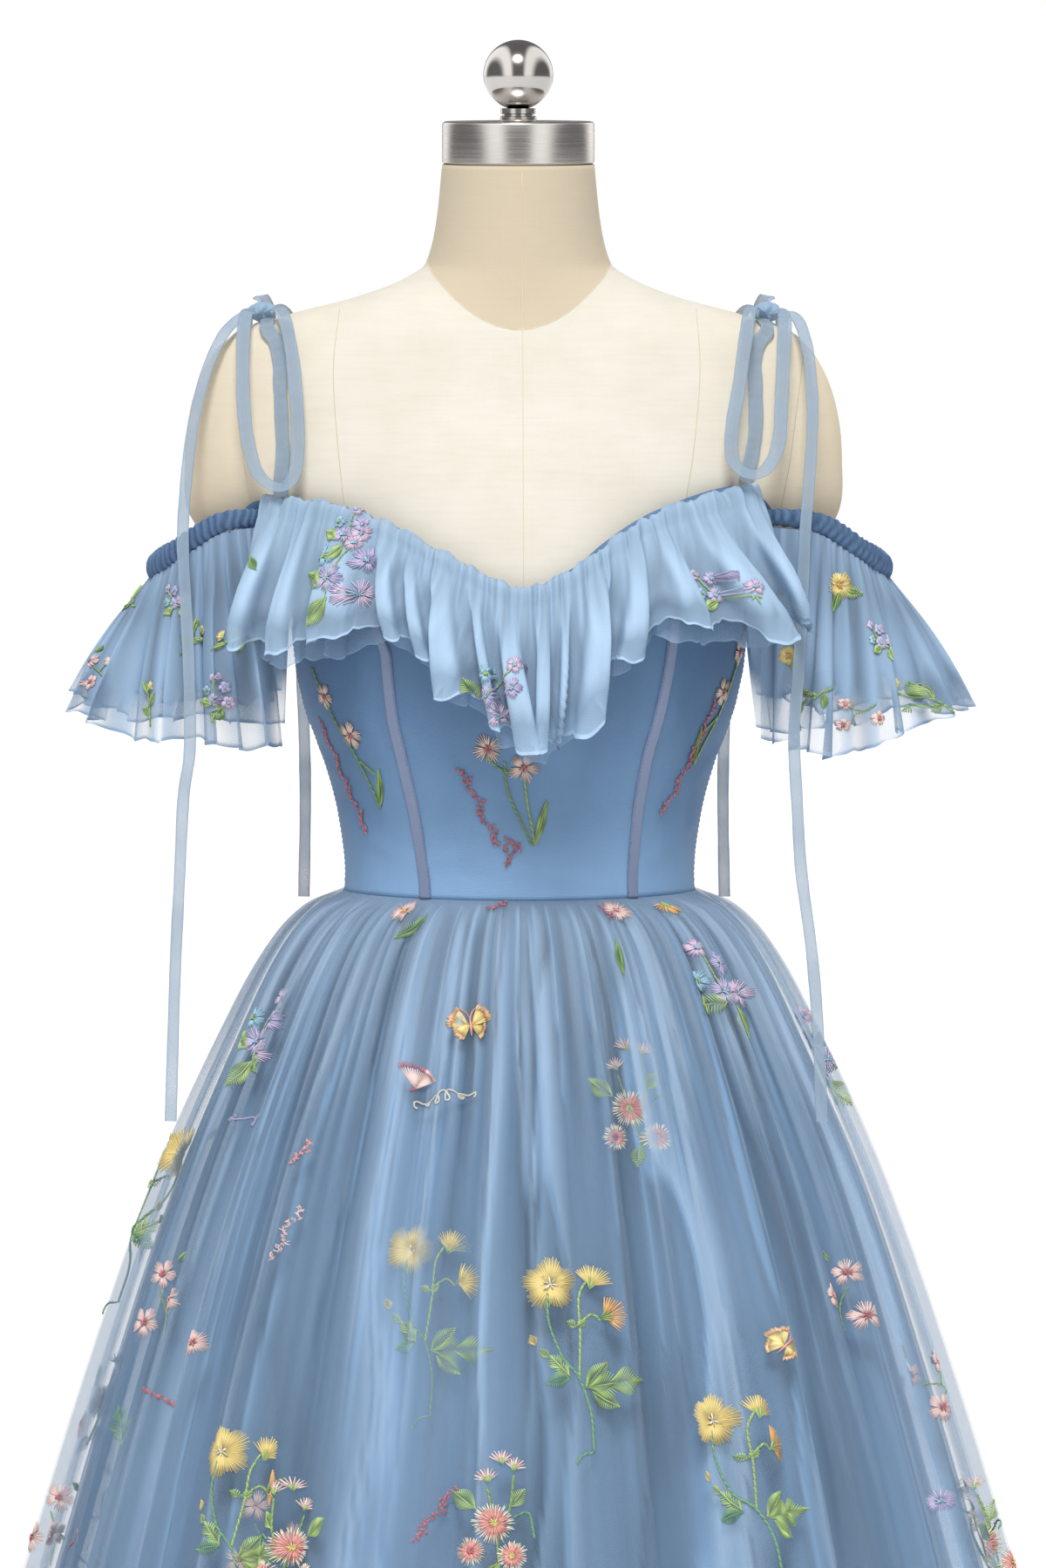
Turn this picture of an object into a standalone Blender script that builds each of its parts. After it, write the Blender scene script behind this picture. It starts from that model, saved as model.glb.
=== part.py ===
"""Blue homecoming dress worn by a limbless dress form on a round-based stand.

Units are metres and +Z is up. The wearer's front faces -Y and the floor is z = 0.
Heights in the tables are measured up from the waist seam, drops are measured down from it,
and angles run round the body from the centre front, positive towards +X.
"""
import math

import bmesh
import bpy
from mathutils import Matrix, Vector

# Heights above the floor
WAIST_HEIGHT = 1.030
SKIRT_LENGTH = 0.580

# Cloth and seams
SEAM_GAP = 0.0003
EASE = 0.0021
CHEST_EASE = 0.0024
CHEST_EASE_HEIGHTS = (0.176, 0.210)
BODICE_WALL = 0.0012
TULLE_WALL = 0.0010
RIBBON_WALL = 0.0012
LAYER_GAP = 0.0007

# Stand
BASE_RADIUS = 0.190
BASE_THICKNESS = 0.010
POLE_RADIUS = 0.0125
CAP_RADIUS = 0.048
CAP_HEIGHT = 0.0268
STEM_RADIUS = 0.0115
BALL_RADIUS = 0.022
BALL_HEIGHT = 0.5154

# The dress form, a row for each section; arm is how far the shoulder cap stands out of the trunk
TORSO_COLUMNS = ("height", "half_width", "front", "back", "shift", "arm", "arm_power")
TORSO_ROWS = (
    (-0.280, 0.1560, 0.1100, 0.1160, 0.0000, 0.0000, 6.0),
    (-0.230, 0.1650, 0.1160, 0.1220, 0.0000, 0.0000, 6.0),
    (-0.180, 0.1655, 0.1165, 0.1235, 0.0000, 0.0000, 6.0),
    (-0.120, 0.1550, 0.1080, 0.1160, 0.0000, 0.0000, 6.0),
    (-0.055, 0.1280, 0.0940, 0.1000, 0.0000, 0.0000, 6.0),
    (-0.015, 0.1105, 0.0850, 0.0890, 0.0000, 0.0000, 6.0),
    (0.012, 0.1070, 0.0830, 0.0860, 0.0000, 0.0000, 6.0),
    (0.050, 0.1115, 0.0880, 0.0870, 0.0000, 0.0000, 6.0),
    (0.086, 0.1212, 0.0970, 0.0890, 0.0000, 0.0000, 6.0),
    (0.120, 0.1335, 0.1080, 0.0930, 0.0000, 0.0000, 6.0),
    (0.150, 0.1390, 0.1145, 0.0960, 0.0000, 0.0000, 6.0),
    (0.175, 0.1415, 0.1160, 0.0990, 0.0000, 0.0000, 6.0),
    (0.198, 0.1445, 0.1130, 0.1015, -0.0010, 0.0010, 12.0),
    (0.208, 0.1480, 0.1110, 0.1020, -0.0020, 0.0220, 12.0),
    (0.222, 0.1530, 0.1070, 0.1030, -0.0030, 0.0410, 9.0),
    (0.242, 0.1590, 0.1010, 0.1035, -0.0038, 0.0470, 5.0),
    (0.268, 0.1660, 0.0930, 0.1030, -0.0038, 0.0416, 3.0),
    (0.298, 0.1700, 0.0820, 0.1000, -0.0038, 0.0354, 2.0),
    (0.320, 0.1710, 0.0740, 0.0960, -0.0038, 0.0287, 1.6),
    (0.342, 0.1700, 0.0660, 0.0900, -0.0038, 0.0180, 1.3),
    (0.353, 0.1690, 0.0620, 0.0860, -0.0035, 0.0070, 1.0),
    (0.364, 0.1440, 0.0580, 0.0800, -0.0030, 0.0000, 1.0),
    (0.375, 0.1030, 0.0550, 0.0710, -0.0020, 0.0000, 1.0),
    (0.386, 0.0740, 0.0530, 0.0620, -0.0010, 0.0000, 1.0),
    (0.397, 0.0583, 0.0515, 0.0550, -0.0008, 0.0000, 1.0),
    (0.425, 0.0515, 0.0495, 0.0500, -0.0008, 0.0000, 1.0),
    (0.459, 0.0480, 0.0480, 0.0480, -0.0008, 0.0000, 1.0),
)
TORSO_SIDES = 24

# The ruffle's gathered top edge, from the left strap to the right one
NECKLINE_COLUMNS = ("angle", "height")
NECKLINE_ROWS = (
    (-53.5, 0.2520),
    (-40.4, 0.2490),
    (-29.0, 0.2370),
    (-15.0, 0.2160),
    (1.4, 0.1975),
    (14.8, 0.2110),
    (22.8, 0.2270),
    (36.0, 0.2480),
    (50.8, 0.2610),
)

# The bodice's upper edge, all round
TOP_EDGE_COLUMNS = ("angle", "height")
TOP_EDGE_ROWS = (
    (-180.0, 0.1740),
    (-155.0, 0.1860),
    (-138.0, 0.2160),
    (-125.0, 0.2340),
    (-110.0, 0.1980),
    (-95.0, 0.1680),
    (-80.0, 0.1660),
    (-71.0, 0.1900),
    (-62.0, 0.2400),
    (-53.5, 0.2505),
    (-40.4, 0.2475),
    (-29.0, 0.2355),
    (-15.0, 0.2145),
    (1.4, 0.1960),
    (14.8, 0.2095),
    (22.8, 0.2255),
    (36.0, 0.2465),
    (50.8, 0.2595),
    (61.0, 0.2430),
    (71.0, 0.1900),
    (80.0, 0.1660),
    (95.0, 0.1680),
    (110.0, 0.1980),
    (125.0, 0.2340),
    (138.0, 0.2160),
    (155.0, 0.1860),
    (180.0, 0.1740),
)
BODICE_SHARES = (1.0, 0.88, 0.76, 0.62, 0.42, 0.20, 0.0)
MIDDLE_HEIGHT = 0.150

# Bodice panels, each running round the body from one seam to the next
BODICE_COLUMNS = ("name", "from_seam", "to_seam", "faces_across")
BODICE_ROWS = (
    ("bodice_front", "boned_left", "boned_right", 11),
    ("bodice_side_front_left", "side_left", "boned_left", 7),
    ("bodice_side_front_right", "boned_right", "side_right", 7),
    ("bodice_back_left", "back_left", "side_left", 9),
    ("bodice_back_right", "side_right", "back_right", 9),
)

# Angle of the two boned seams at each height
BONED_SEAM_COLUMNS = ("height", "left", "right")
BONED_SEAM_ROWS = (
    (0.000, -32.2, 39.9),
    (0.036, -34.0, 40.0),
    (0.094, -35.8, 39.4),
    (0.154, -35.6, 41.4),
    (0.176, -38.6, 42.0),
    (0.260, -39.5, 38.0),
)
CHANNEL_WIDTH = 0.0080

# Outline of the skirt at the tops of its folds
SKIRT_COLUMNS = ("drop", "half_width", "roundness", "fold")
SKIRT_ROWS = (
    (0.0000, 0.1138, 0.816, 0.0001),
    (0.0080, 0.1330, 0.830, 0.0016),
    (0.0300, 0.1560, 0.840, 0.0032),
    (0.0900, 0.1900, 0.860, 0.0048),
    (0.1900, 0.2355, 0.890, 0.0064),
    (0.3100, 0.2780, 0.910, 0.0080),
    (0.4400, 0.3186, 0.925, 0.0092),
    (0.5800, 0.3620, 0.940, 0.0100),
)
SKIRT_LAYER_COLUMNS = ("name", "half_folds", "fold_share", "drops")
SKIRT_LAYER_ROWS = (
    ("skirt_tulle", 20, 1.00, (0.0, 0.010, 0.040, 0.130, 0.320, 0.580)),
    ("skirt_tulle_under", 10, 0.62, (0.0, 0.040, 0.130, 0.320, 0.566)),
    ("skirt_lining", 6, 0.38, (0.0, 0.040, 0.130, 0.320, 0.552)),
)
FOLD_POINTS = 4
FOLD_DRIFT = 0.016

# At the waist seam the layers nest almost level, and the outer one laps the bodice's lower edge
WAIST_LEAN = 0.42
WAIST_LAP = 0.0004

# Both layers of the neck ruffle, measured out from the bodice at each drop below the neckline
RUFFLE_COLUMNS = ("drop", "reach", "fold", "under_reach", "under_fold")
RUFFLE_ROWS = (
    (0.000, 0.0048, 0.0008, 0.0020, 0.0002),
    (0.012, 0.0108, 0.0030, 0.0050, 0.0010),
    (0.036, 0.0204, 0.0070, 0.0088, 0.0024),
    (0.066, 0.0294, 0.0105, 0.0124, 0.0040),
    (0.093, 0.0366, 0.0130, 0.0156, 0.0055),
)
RUFFLE_FOLDS = 15
RUFFLE_UNDER_FOLDS = 9
RUFFLE_UNDER_EXTRA = 0.006
RUFFLE_RIGHT_FLARE = 0.012
RUFFLE_FLARE_ANGLES = (20.0, 42.0)

# Sleeve band and hem routes at -X, from front to back, given by x, y and height; the other side mirrors them
BAND_ROUTE = (
    (-0.1880, -0.0620, 0.2360),
    (-0.2140, -0.0450, 0.2190),
    (-0.2290, -0.0180, 0.2070),
    (-0.2320, 0.0120, 0.2050),
    (-0.2240, 0.0450, 0.2100),
    (-0.2030, 0.0700, 0.2180),
    (-0.1760, 0.0840, 0.2240),
)
HEM_ROUTE = (
    (-0.1500, -0.0480, 0.0980),
    (-0.1800, -0.0700, 0.0940),
    (-0.2260, -0.0740, 0.1000),
    (-0.2660, -0.0480, 0.1120),
    (-0.2800, -0.0050, 0.1200),
    (-0.2740, 0.0450, 0.1160),
    (-0.2450, 0.0850, 0.1060),
    (-0.2000, 0.1080, 0.0980),
    (-0.1500, 0.1120, 0.0960),
)
ARM_CENTRE = (-0.165, 0.008)
BAND_START = (-57.0, 0.2420)
BAND_END = (-121.0, 0.2180)
BAND_WIDTH = 0.0140
BAND_THICKNESS = 0.0045
BAND_POINTS = 19
BAND_GAP = 0.0012
BAND_END_TILT = 0.3
FLOUNCE_FOLDS = 10
FLOUNCE_FOLD_DEPTH = 0.0085
FLOUNCE_BULGE = 0.0040
FLOUNCE_FOLD_AT_BAND = 0.06
FLOUNCE_UNDER_FOLDS = 6
FLOUNCE_UNDER_LENGTH = 0.80
FLOUNCE_UNDER_DEPTH = 0.0026
FLOUNCE_OUTSET = 0.0012
FLOUNCE_UNDER_INSET = 0.0018
FLOUNCE_UNDER_SPREAD = 0.0115

# Ribbon ties
RIBBON_WIDTH = 0.0098
RIBBON_NECK = 0.0034
KNOT_SIZE = (0.0075, 0.0065, 0.0060)
KNOT_LIFT = 0.0064
KNOT_HEIGHT = 0.3600
STRAP_LIFT = 0.0022
SHOULDER_SHIFT = -0.0035

# Straps lie on the form, given by angle and height, up to the knots on the shoulders
STRAP_ROUTES = {
    "tie_strap_front_left": ((-51.5, 0.2526), (-47.7, 0.2850), (-48.2, 0.3200), (-52.0, 0.3420),
                             (-60.0, 0.3530), (-74.0, 0.3590), (-84.5, 0.3598)),
    "tie_strap_front_right": ((50.0, 0.2614), (50.0, 0.2850), (50.5, 0.3200), (54.3, 0.3420),
                              (63.5, 0.3530), (76.0, 0.3590), (84.5, 0.3598)),
    "tie_strap_back_left": ((-126.0, 0.2345), (-131.0, 0.2700), (-131.0, 0.3000), (-126.0, 0.3300),
                            (-118.0, 0.3490), (-106.0, 0.3580), (-94.0, 0.3598)),
    "tie_strap_back_right": ((126.0, 0.2345), (131.0, 0.2700), (131.0, 0.3000), (126.0, 0.3300),
                             (118.0, 0.3490), (106.0, 0.3580), (94.0, 0.3598)),
}

# Bows hang free of the form from the knots, given by x, y and height
LOOP_ROUTES = {
    "tie_loop_front_left": (
        (-0.1720, -0.0190, 0.3650), (-0.1735, -0.0410, 0.3450), (-0.1730, -0.0550, 0.3146),
        (-0.1700, -0.0650, 0.2880), (-0.1630, -0.0720, 0.2670), (-0.1500, -0.0765, 0.2590),
        (-0.1405, -0.0765, 0.2680), (-0.1385, -0.0720, 0.2900), (-0.1400, -0.0650, 0.3200),
        (-0.1435, -0.0520, 0.3480), (-0.1500, -0.0250, 0.3680)),
    "tie_loop_front_right": (
        (0.1455, -0.0250, 0.3690), (0.1415, -0.0520, 0.3500), (0.1370, -0.0650, 0.3200),
        (0.1330, -0.0730, 0.2980), (0.1330, -0.0780, 0.2780), (0.1400, -0.0810, 0.2690),
        (0.1500, -0.0800, 0.2680), (0.1580, -0.0750, 0.2760), (0.1625, -0.0680, 0.2900),
        (0.1640, -0.0590, 0.3120), (0.1655, -0.0450, 0.3400), (0.1665, -0.0190, 0.3650)),
    "tie_loop_back_left": (
        (-0.1515, 0.0250, 0.3680), (-0.1440, 0.0640, 0.3530), (-0.1415, 0.0800, 0.3250),
        (-0.1410, 0.0870, 0.2950), (-0.1450, 0.0890, 0.2740), (-0.1540, 0.0880, 0.2660),
        (-0.1640, 0.0860, 0.2740), (-0.1690, 0.0820, 0.2950), (-0.1710, 0.0740, 0.3220),
        (-0.1735, 0.0540, 0.3500), (-0.1725, 0.0210, 0.3650)),
}
TAIL_ROUTES = {
    "tie_tail_front_left": (
        (-0.1740, -0.0070, 0.3640), (-0.1860, -0.0190, 0.3530), (-0.1965, -0.0300, 0.3300),
        (-0.2045, -0.0410, 0.2980), (-0.2090, -0.0550, 0.2600), (-0.2107, -0.0660, 0.2250),
        (-0.2085, -0.0760, 0.1850), (-0.2062, -0.0900, 0.1400), (-0.2057, -0.0990, 0.0960),
        (-0.2095, -0.1030, 0.0670), (-0.2123, -0.1040, 0.0120), (-0.2150, -0.1040, -0.0430),
        (-0.2180, -0.1040, -0.1360)),
    "tie_tail_front_right": (
        (0.1740, -0.0090, 0.3630), (0.1800, -0.0300, 0.3480), (0.1830, -0.0450, 0.3250),
        (0.1835, -0.0560, 0.2980), (0.1810, -0.0670, 0.2600), (0.1785, -0.0745, 0.2300),
        (0.1765, -0.0790, 0.1850), (0.1740, -0.0850, 0.1400), (0.1715, -0.0900, 0.1050),
        (0.1735, -0.0940, 0.0600), (0.1760, -0.0970, 0.0200), (0.1825, -0.1010, -0.0300),
        (0.1865, -0.1040, -0.0800), (0.1890, -0.1060, -0.1360)),
    "tie_tail_back_left": (
        (-0.1650, 0.0150, 0.3745), (-0.1620, 0.0420, 0.3740), (-0.1590, 0.0690, 0.3620),
        (-0.1560, 0.0870, 0.3250),
        (-0.1550, 0.0950, 0.2850), (-0.1510, 0.0990, 0.2400), (-0.1450, 0.1020, 0.2000),
        (-0.1410, 0.1120, 0.1500), (-0.1390, 0.1230, 0.1000), (-0.1380, 0.1240, 0.0500),
        (-0.1390, 0.1240, -0.0150)),
}

# Concealed zip at the centre back, with its slider at the top
ZIP_WIDTH = 0.0090
ZIP_FOOT = 0.0010
ZIP_TOP = 0.1560
SLIDER_SIZE = (0.0072, 0.0030, 0.0090)
SLIDER_HEIGHT = 0.1640
LUG_THICKNESS = 0.0010
LUG_REACH = 0.0034
PULL_WIDTH = 0.0044
PULL_THICKNESS = 0.0012
PULL_LENGTH = 0.0220
PULL_EYE_RADIUS = 0.0012
PULL_AXIS_REACH = 0.0020


def table(columns, rows):
    """Rows as dictionaries, so that each value is read by its column's name."""
    return [dict(zip(columns, row)) for row in rows]


TORSO = table(TORSO_COLUMNS, TORSO_ROWS)
NECKLINE = table(NECKLINE_COLUMNS, NECKLINE_ROWS)
TOP_EDGE = table(TOP_EDGE_COLUMNS, TOP_EDGE_ROWS)
BONED_SEAM = table(BONED_SEAM_COLUMNS, BONED_SEAM_ROWS)
SKIRT = table(SKIRT_COLUMNS, SKIRT_ROWS)
SKIRT_LAYERS = table(SKIRT_LAYER_COLUMNS, SKIRT_LAYER_ROWS)
RUFFLE = table(RUFFLE_COLUMNS, RUFFLE_ROWS)


def slope_at(rows, key, column, index):
    """Slope of a smooth curve at one row, level where the column turns back."""
    if index in (0, len(rows) - 1):
        near = max(index, 1)
        return (rows[near][column] - rows[near - 1][column]) / (rows[near][key] - rows[near - 1][key])
    before = (rows[index][column] - rows[index - 1][column]) / (rows[index][key] - rows[index - 1][key])
    after = (rows[index + 1][column] - rows[index][column]) / (rows[index + 1][key] - rows[index][key])
    if before * after <= 0.0:
        return 0.0
    return 2.0 * before * after / (before + after)


def read(rows, key, where, column):
    """Value of a column at any place along the key column, on a smooth curve with no overshoot."""
    where = min(max(where, rows[0][key]), rows[-1][key])
    index = 0
    while index < len(rows) - 2 and rows[index + 1][key] < where:
        index += 1
    span = rows[index + 1][key] - rows[index][key]
    t = (where - rows[index][key]) / span
    start, end = rows[index][column], rows[index + 1][column]
    start_slope = slope_at(rows, key, column, index) * span
    end_slope = slope_at(rows, key, column, index + 1) * span
    return (start * (2 * t**3 - 3 * t**2 + 1) + end * (3 * t**2 - 2 * t**3)
            + start_slope * (t**3 - 2 * t**2 + t) + end_slope * (t**3 - t**2))


def smooth_step(low, high, value):
    """0 below low, 1 above high, and an even rise between."""
    t = min(max((value - low) / (high - low), 0.0), 1.0)
    return t * t * (3.0 - 2.0 * t)


def sample(points, place):
    """A point at a share of the way along a list of points, on a smooth curve through them."""
    last = len(points) - 1
    index = min(int(place * last), last - 1)
    t = place * last - index
    p1, p2 = points[index], points[index + 1]
    p0 = points[index - 1] if index > 0 else p1 * 2 - p2
    p3 = points[index + 2] if index + 2 <= last else p2 * 2 - p1
    return 0.5 * (2 * p1 + (p2 - p0) * t + (2 * p0 - 5 * p1 + 4 * p2 - p3) * t**2
                  + (3 * p1 - p0 - 3 * p2 + p3) * t**3)


def spline(points, count):
    """Evenly indexed points on a smooth curve through a route's own points."""
    return [sample(points, step / (count - 1)) for step in range(count)]


def torso_base(angle, height):
    """A point on the dress form's surface; the angle is in radians."""
    half_width = read(TORSO, "height", height, "half_width")
    depth = read(TORSO, "height", height, "front" if math.cos(angle) > 0.0 else "back")
    arm_power = read(TORSO, "height", height, "arm_power")
    arm = read(TORSO, "height", height, "arm") * abs(math.sin(angle)) ** arm_power
    across = half_width * math.sin(angle) + math.copysign(arm, math.sin(angle))
    x = read(TORSO, "height", height, "shift") + across
    return Vector((x, -depth * math.cos(angle), WAIST_HEIGHT + height))


def torso_point(angle, height, lift):
    """A point at a distance from the dress form, along the surface's own normal."""
    step_angle, step_height = 0.01, 0.001
    around = torso_base(angle + step_angle, height) - torso_base(angle - step_angle, height)
    upward = torso_base(angle, height + step_height) - torso_base(angle, height - step_height)
    return torso_base(angle, height) + around.cross(upward).normalized() * lift


def ease_at(height):
    """How far the bodice stands off the form, a little more over the chest."""
    return EASE + CHEST_EASE * smooth_step(*CHEST_EASE_HEIGHTS, height)


def fold_columns(count, start, end, columns):
    """Place and wave height, from -1 to 1, of each column over uneven folds, valleys at both ends."""
    unevenness, depth_mean, depth_spread = 0.20, 0.70, 0.30
    edges = [0.0] + [k + unevenness * math.sin(2.4 * k) for k in range(1, count)] + [float(count)]
    result = [(start, -1.0, 0.0)]
    for k in range(count):
        crest = depth_mean + depth_spread * math.cos(1.9 * k)
        for column in range(columns):
            phase = (column + 0.5) / columns
            place = edges[k] + (edges[k + 1] - edges[k]) * phase
            wave = -1.0 + (1.0 + crest) * 0.5 * (1.0 - math.cos(2.0 * math.pi * phase))
            result.append((start + (end - start) * place / count, wave, math.sin(1.3 * k + start)))
    result.append((end, -1.0, 0.0))
    return result


def material(name, colour, roughness, metallic=0.0):
    """A plain Principled material in the piece's own colour."""
    paint = bpy.data.materials.new(name)
    paint.use_nodes = True
    shader = paint.node_tree.nodes["Principled BSDF"]
    shader.inputs["Base Color"].default_value = (*colour, 1.0)
    shader.inputs["Roughness"].default_value = roughness
    shader.inputs["Metallic"].default_value = metallic
    return paint


def add_object(name, mesh, paint, parts):
    """A named object with its own material, in the dress's collection."""
    mesh.materials.append(paint)
    piece = bpy.data.objects.new(name, mesh)
    parts.objects.link(piece)
    return piece


def cloth(name, rows, thickness, side, paint, parts):
    """A cloth wall: a grid of points from top to bottom, thickened outwards (1) or inwards (-1)."""
    width = len(rows[0])
    points = [point for row in rows for point in row]
    faces = []
    for r in range(len(rows) - 1):
        for c in range(width - 1):
            corner = r * width + c
            faces.append((corner, corner + width, corner + width + 1, corner + 1))
    mesh = bpy.data.meshes.new(name)
    mesh.from_pydata([tuple(point) for point in points], [], faces)
    piece = add_object(name, mesh, paint, parts)
    wall = piece.modifiers.new("wall", "SOLIDIFY")
    wall.thickness = thickness
    wall.offset = side
    mesh.shade_smooth()
    return piece


def turned(name, profile, sides, paint, parts):
    """A round solid from a profile of radius and height pairs, closed at both ends on the axis."""
    points, faces = [], []
    for radius, height in profile:
        for side in range(sides):
            angle = 2.0 * math.pi * side / sides
            points.append((radius * math.cos(angle), radius * math.sin(angle), height))
    for r in range(len(profile) - 1):
        for side in range(sides):
            after = (side + 1) % sides
            low, high = r * sides, (r + 1) * sides
            faces.append((low + side, low + after, high + after, high + side))
    faces.append(tuple(reversed(range(sides))))
    faces.append(tuple(range((len(profile) - 1) * sides, len(profile) * sides)))
    mesh = bpy.data.meshes.new(name)
    mesh.from_pydata(points, [], faces)
    mesh.shade_smooth()
    mesh.set_sharp_from_angle(angle=math.radians(35.0))
    return add_object(name, mesh, paint, parts)


def ribbon_rows(centres, widths, faces):
    """The two edges of a flat ribbon along its centre line, facing a direction at each point."""
    rows = []
    last = len(centres) - 1
    for index, centre in enumerate(centres):
        tangent = (centres[min(index + 1, last)] - centres[max(index - 1, 0)]).normalized()
        face = faces[index]
        face = (face - tangent * face.dot(tangent)).normalized()
        side = tangent.cross(face).normalized()
        half = widths[index] / 2.0
        rows.append([centre - side * half, centre + side * half])
    return rows


def build_form(paint, parts):
    """The limbless torso, a loft through the sections of its table."""
    points, faces = [], []
    for row in TORSO:
        for side in range(TORSO_SIDES):
            points.append(tuple(torso_base(2.0 * math.pi * side / TORSO_SIDES, row["height"])))
    for r in range(len(TORSO) - 1):
        for side in range(TORSO_SIDES):
            after = (side + 1) % TORSO_SIDES
            low, high = r * TORSO_SIDES, (r + 1) * TORSO_SIDES
            faces.append((low + side, low + after, high + after, high + side))
    top = (len(TORSO) - 1) * TORSO_SIDES
    faces.append(tuple(reversed(range(TORSO_SIDES))))
    faces.append(tuple(range(top, top + TORSO_SIDES)))
    mesh = bpy.data.meshes.new("form_torso")
    mesh.from_pydata(points, [], faces)
    mesh.shade_smooth()
    return add_object("form_torso", mesh, paint, parts)


def build_stand(steel, parts):
    """Base, pole, neck cap, stem and ball, each a turned piece on the form's axis."""
    rim = 0.002
    base_sides, pole_sides, cap_sides, stem_sides, ball_sides = 40, 16, 32, 16, 18
    form_foot = WAIST_HEIGHT + TORSO[0]["height"]
    turned("stand_base", ((BASE_RADIUS, 0.0), (BASE_RADIUS, BASE_THICKNESS - rim),
                          (BASE_RADIUS - rim, BASE_THICKNESS)), base_sides, steel, parts)
    turned("stand_pole", ((POLE_RADIUS, BASE_THICKNESS + SEAM_GAP), (POLE_RADIUS, form_foot - SEAM_GAP)),
           pole_sides, steel, parts)
    cap_foot = WAIST_HEIGHT + TORSO[-1]["height"] + SEAM_GAP
    cap_top = cap_foot + CAP_HEIGHT
    pieces = [
        turned("form_neck_cap", ((CAP_RADIUS, cap_foot), (CAP_RADIUS, cap_top - rim),
                                 (CAP_RADIUS - rim, cap_top)), cap_sides, steel, parts)]
    ball_centre = WAIST_HEIGHT + BALL_HEIGHT
    stem_top = ball_centre - BALL_RADIUS - SEAM_GAP
    pieces.append(turned("form_stem", ((STEM_RADIUS, cap_top + SEAM_GAP), (STEM_RADIUS, stem_top)),
                         stem_sides, steel, parts))
    rings, pole_radius = 9, 0.0012
    profile = [(pole_radius, ball_centre - BALL_RADIUS)]
    for ring in range(1, rings):
        turn = math.pi * ring / rings
        profile.append((BALL_RADIUS * math.sin(turn), ball_centre - BALL_RADIUS * math.cos(turn)))
    profile.append((pole_radius, ball_centre + BALL_RADIUS))
    pieces.append(turned("form_finial_ball", profile, ball_sides, steel, parts))
    for piece in pieces:
        piece.location.x = TORSO[-1]["shift"]


def boned_seam(side, height):
    """Angle of a boned seam in radians, on the left (-X) or the right."""
    return math.radians(read(BONED_SEAM, "height", height, side))


def bodice_panel(name, start, end, columns, paint, parts):
    """One bodice panel between two seams, each a function of height that gives an angle."""
    rows = []
    for share in BODICE_SHARES:
        row = []
        for c in range(columns + 1):
            across = c / columns
            middle = start(MIDDLE_HEIGHT) * (1.0 - across) + end(MIDDLE_HEIGHT) * across
            height = read(TOP_EDGE, "angle", math.degrees(middle), "height") * share
            angle = start(height) * (1.0 - across) + end(height) * across
            row.append(torso_point(angle, height, ease_at(height)))
        rows.append(row)
    return cloth(name, rows, BODICE_WALL, 1.0, paint, parts)


def build_bodice(satin, parts):
    """Centre front, side fronts and backs, their edges half a seam gap from each seam."""
    waist_half_width = read(TORSO, "height", 0.0, "half_width")
    half_seam = SEAM_GAP / 2.0 / waist_half_width

    def seam(angle_at, turn):
        return lambda height: angle_at(height) + turn * half_seam

    seams = {
        "side_left": lambda height: -math.pi / 2.0,
        "side_right": lambda height: math.pi / 2.0,
        "back_left": lambda height: -math.pi,
        "back_right": lambda height: math.pi,
        "boned_left": lambda height: boned_seam("left", height),
        "boned_right": lambda height: boned_seam("right", height),
    }
    for panel in table(BODICE_COLUMNS, BODICE_ROWS):
        start, end = seam(seams[panel["from_seam"]], 1), seam(seams[panel["to_seam"]], -1)
        bodice_panel(panel["name"], start, end, panel["faces_across"], satin, parts)


def build_channels(satin, parts):
    """A satin boning channel laid over each boned seam."""
    for side in ("left", "right"):
        seam_at_bust = math.degrees(boned_seam(side, MIDDLE_HEIGHT))
        edge = read(TOP_EDGE, "angle", seam_at_bust, "height")
        rows = []
        for share in BODICE_SHARES[1:]:
            height = edge * share
            angle = boned_seam(side, height)
            half = CHANNEL_WIDTH / 2.0 / torso_base(math.pi / 2.0, height).x
            lift = ease_at(height) + BODICE_WALL + 2.0 * SEAM_GAP
            rows.append([torso_point(angle + turn * half, height, lift) for turn in (-1.0, 0.0, 1.0)])
        cloth("boning_channel_" + side, rows, BODICE_WALL, 1.0, satin, parts)


def ruffle_point(angle, drop, reach):
    """A point of the neck ruffle: out from the neckline and straight down."""
    neck_height = read(NECKLINE, "angle", math.degrees(angle), "height")
    edge = torso_point(angle, neck_height, ease_at(neck_height) + BODICE_WALL + SEAM_GAP)
    turned_out = smooth_step(*RUFFLE_FLARE_ANGLES, math.degrees(angle))
    flare = RUFFLE_RIGHT_FLARE * turned_out * drop / RUFFLE[-1]["drop"]
    outward = Vector((math.sin(angle), -math.cos(angle), 0.0))
    return edge + outward * (reach + flare) - Vector((0.0, 0.0, drop))


def build_ruffle(tulle, parts):
    """The upper and under layers of the neck ruffle."""
    start, end = math.radians(NECKLINE[0]["angle"]), math.radians(NECKLINE[-1]["angle"])
    upper, under = [], []
    upper_columns = fold_columns(RUFFLE_FOLDS, start, end, FOLD_POINTS)
    under_columns = fold_columns(RUFFLE_UNDER_FOLDS, start, end, FOLD_POINTS)
    for row in RUFFLE:
        upper.append([ruffle_point(angle, row["drop"], row["reach"] + wave * row["fold"])
                      for angle, wave, sway in upper_columns])
        longer = RUFFLE_UNDER_EXTRA * row["drop"] / RUFFLE[-1]["drop"]
        under.append([ruffle_point(angle, row["drop"] + longer, row["under_reach"] + wave * row["under_fold"])
                      for angle, wave, sway in under_columns])
    cloth("neck_ruffle", upper, TULLE_WALL, 1.0, tulle, parts)
    cloth("neck_ruffle_under", under, TULLE_WALL, 1.0, tulle, parts)


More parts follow.
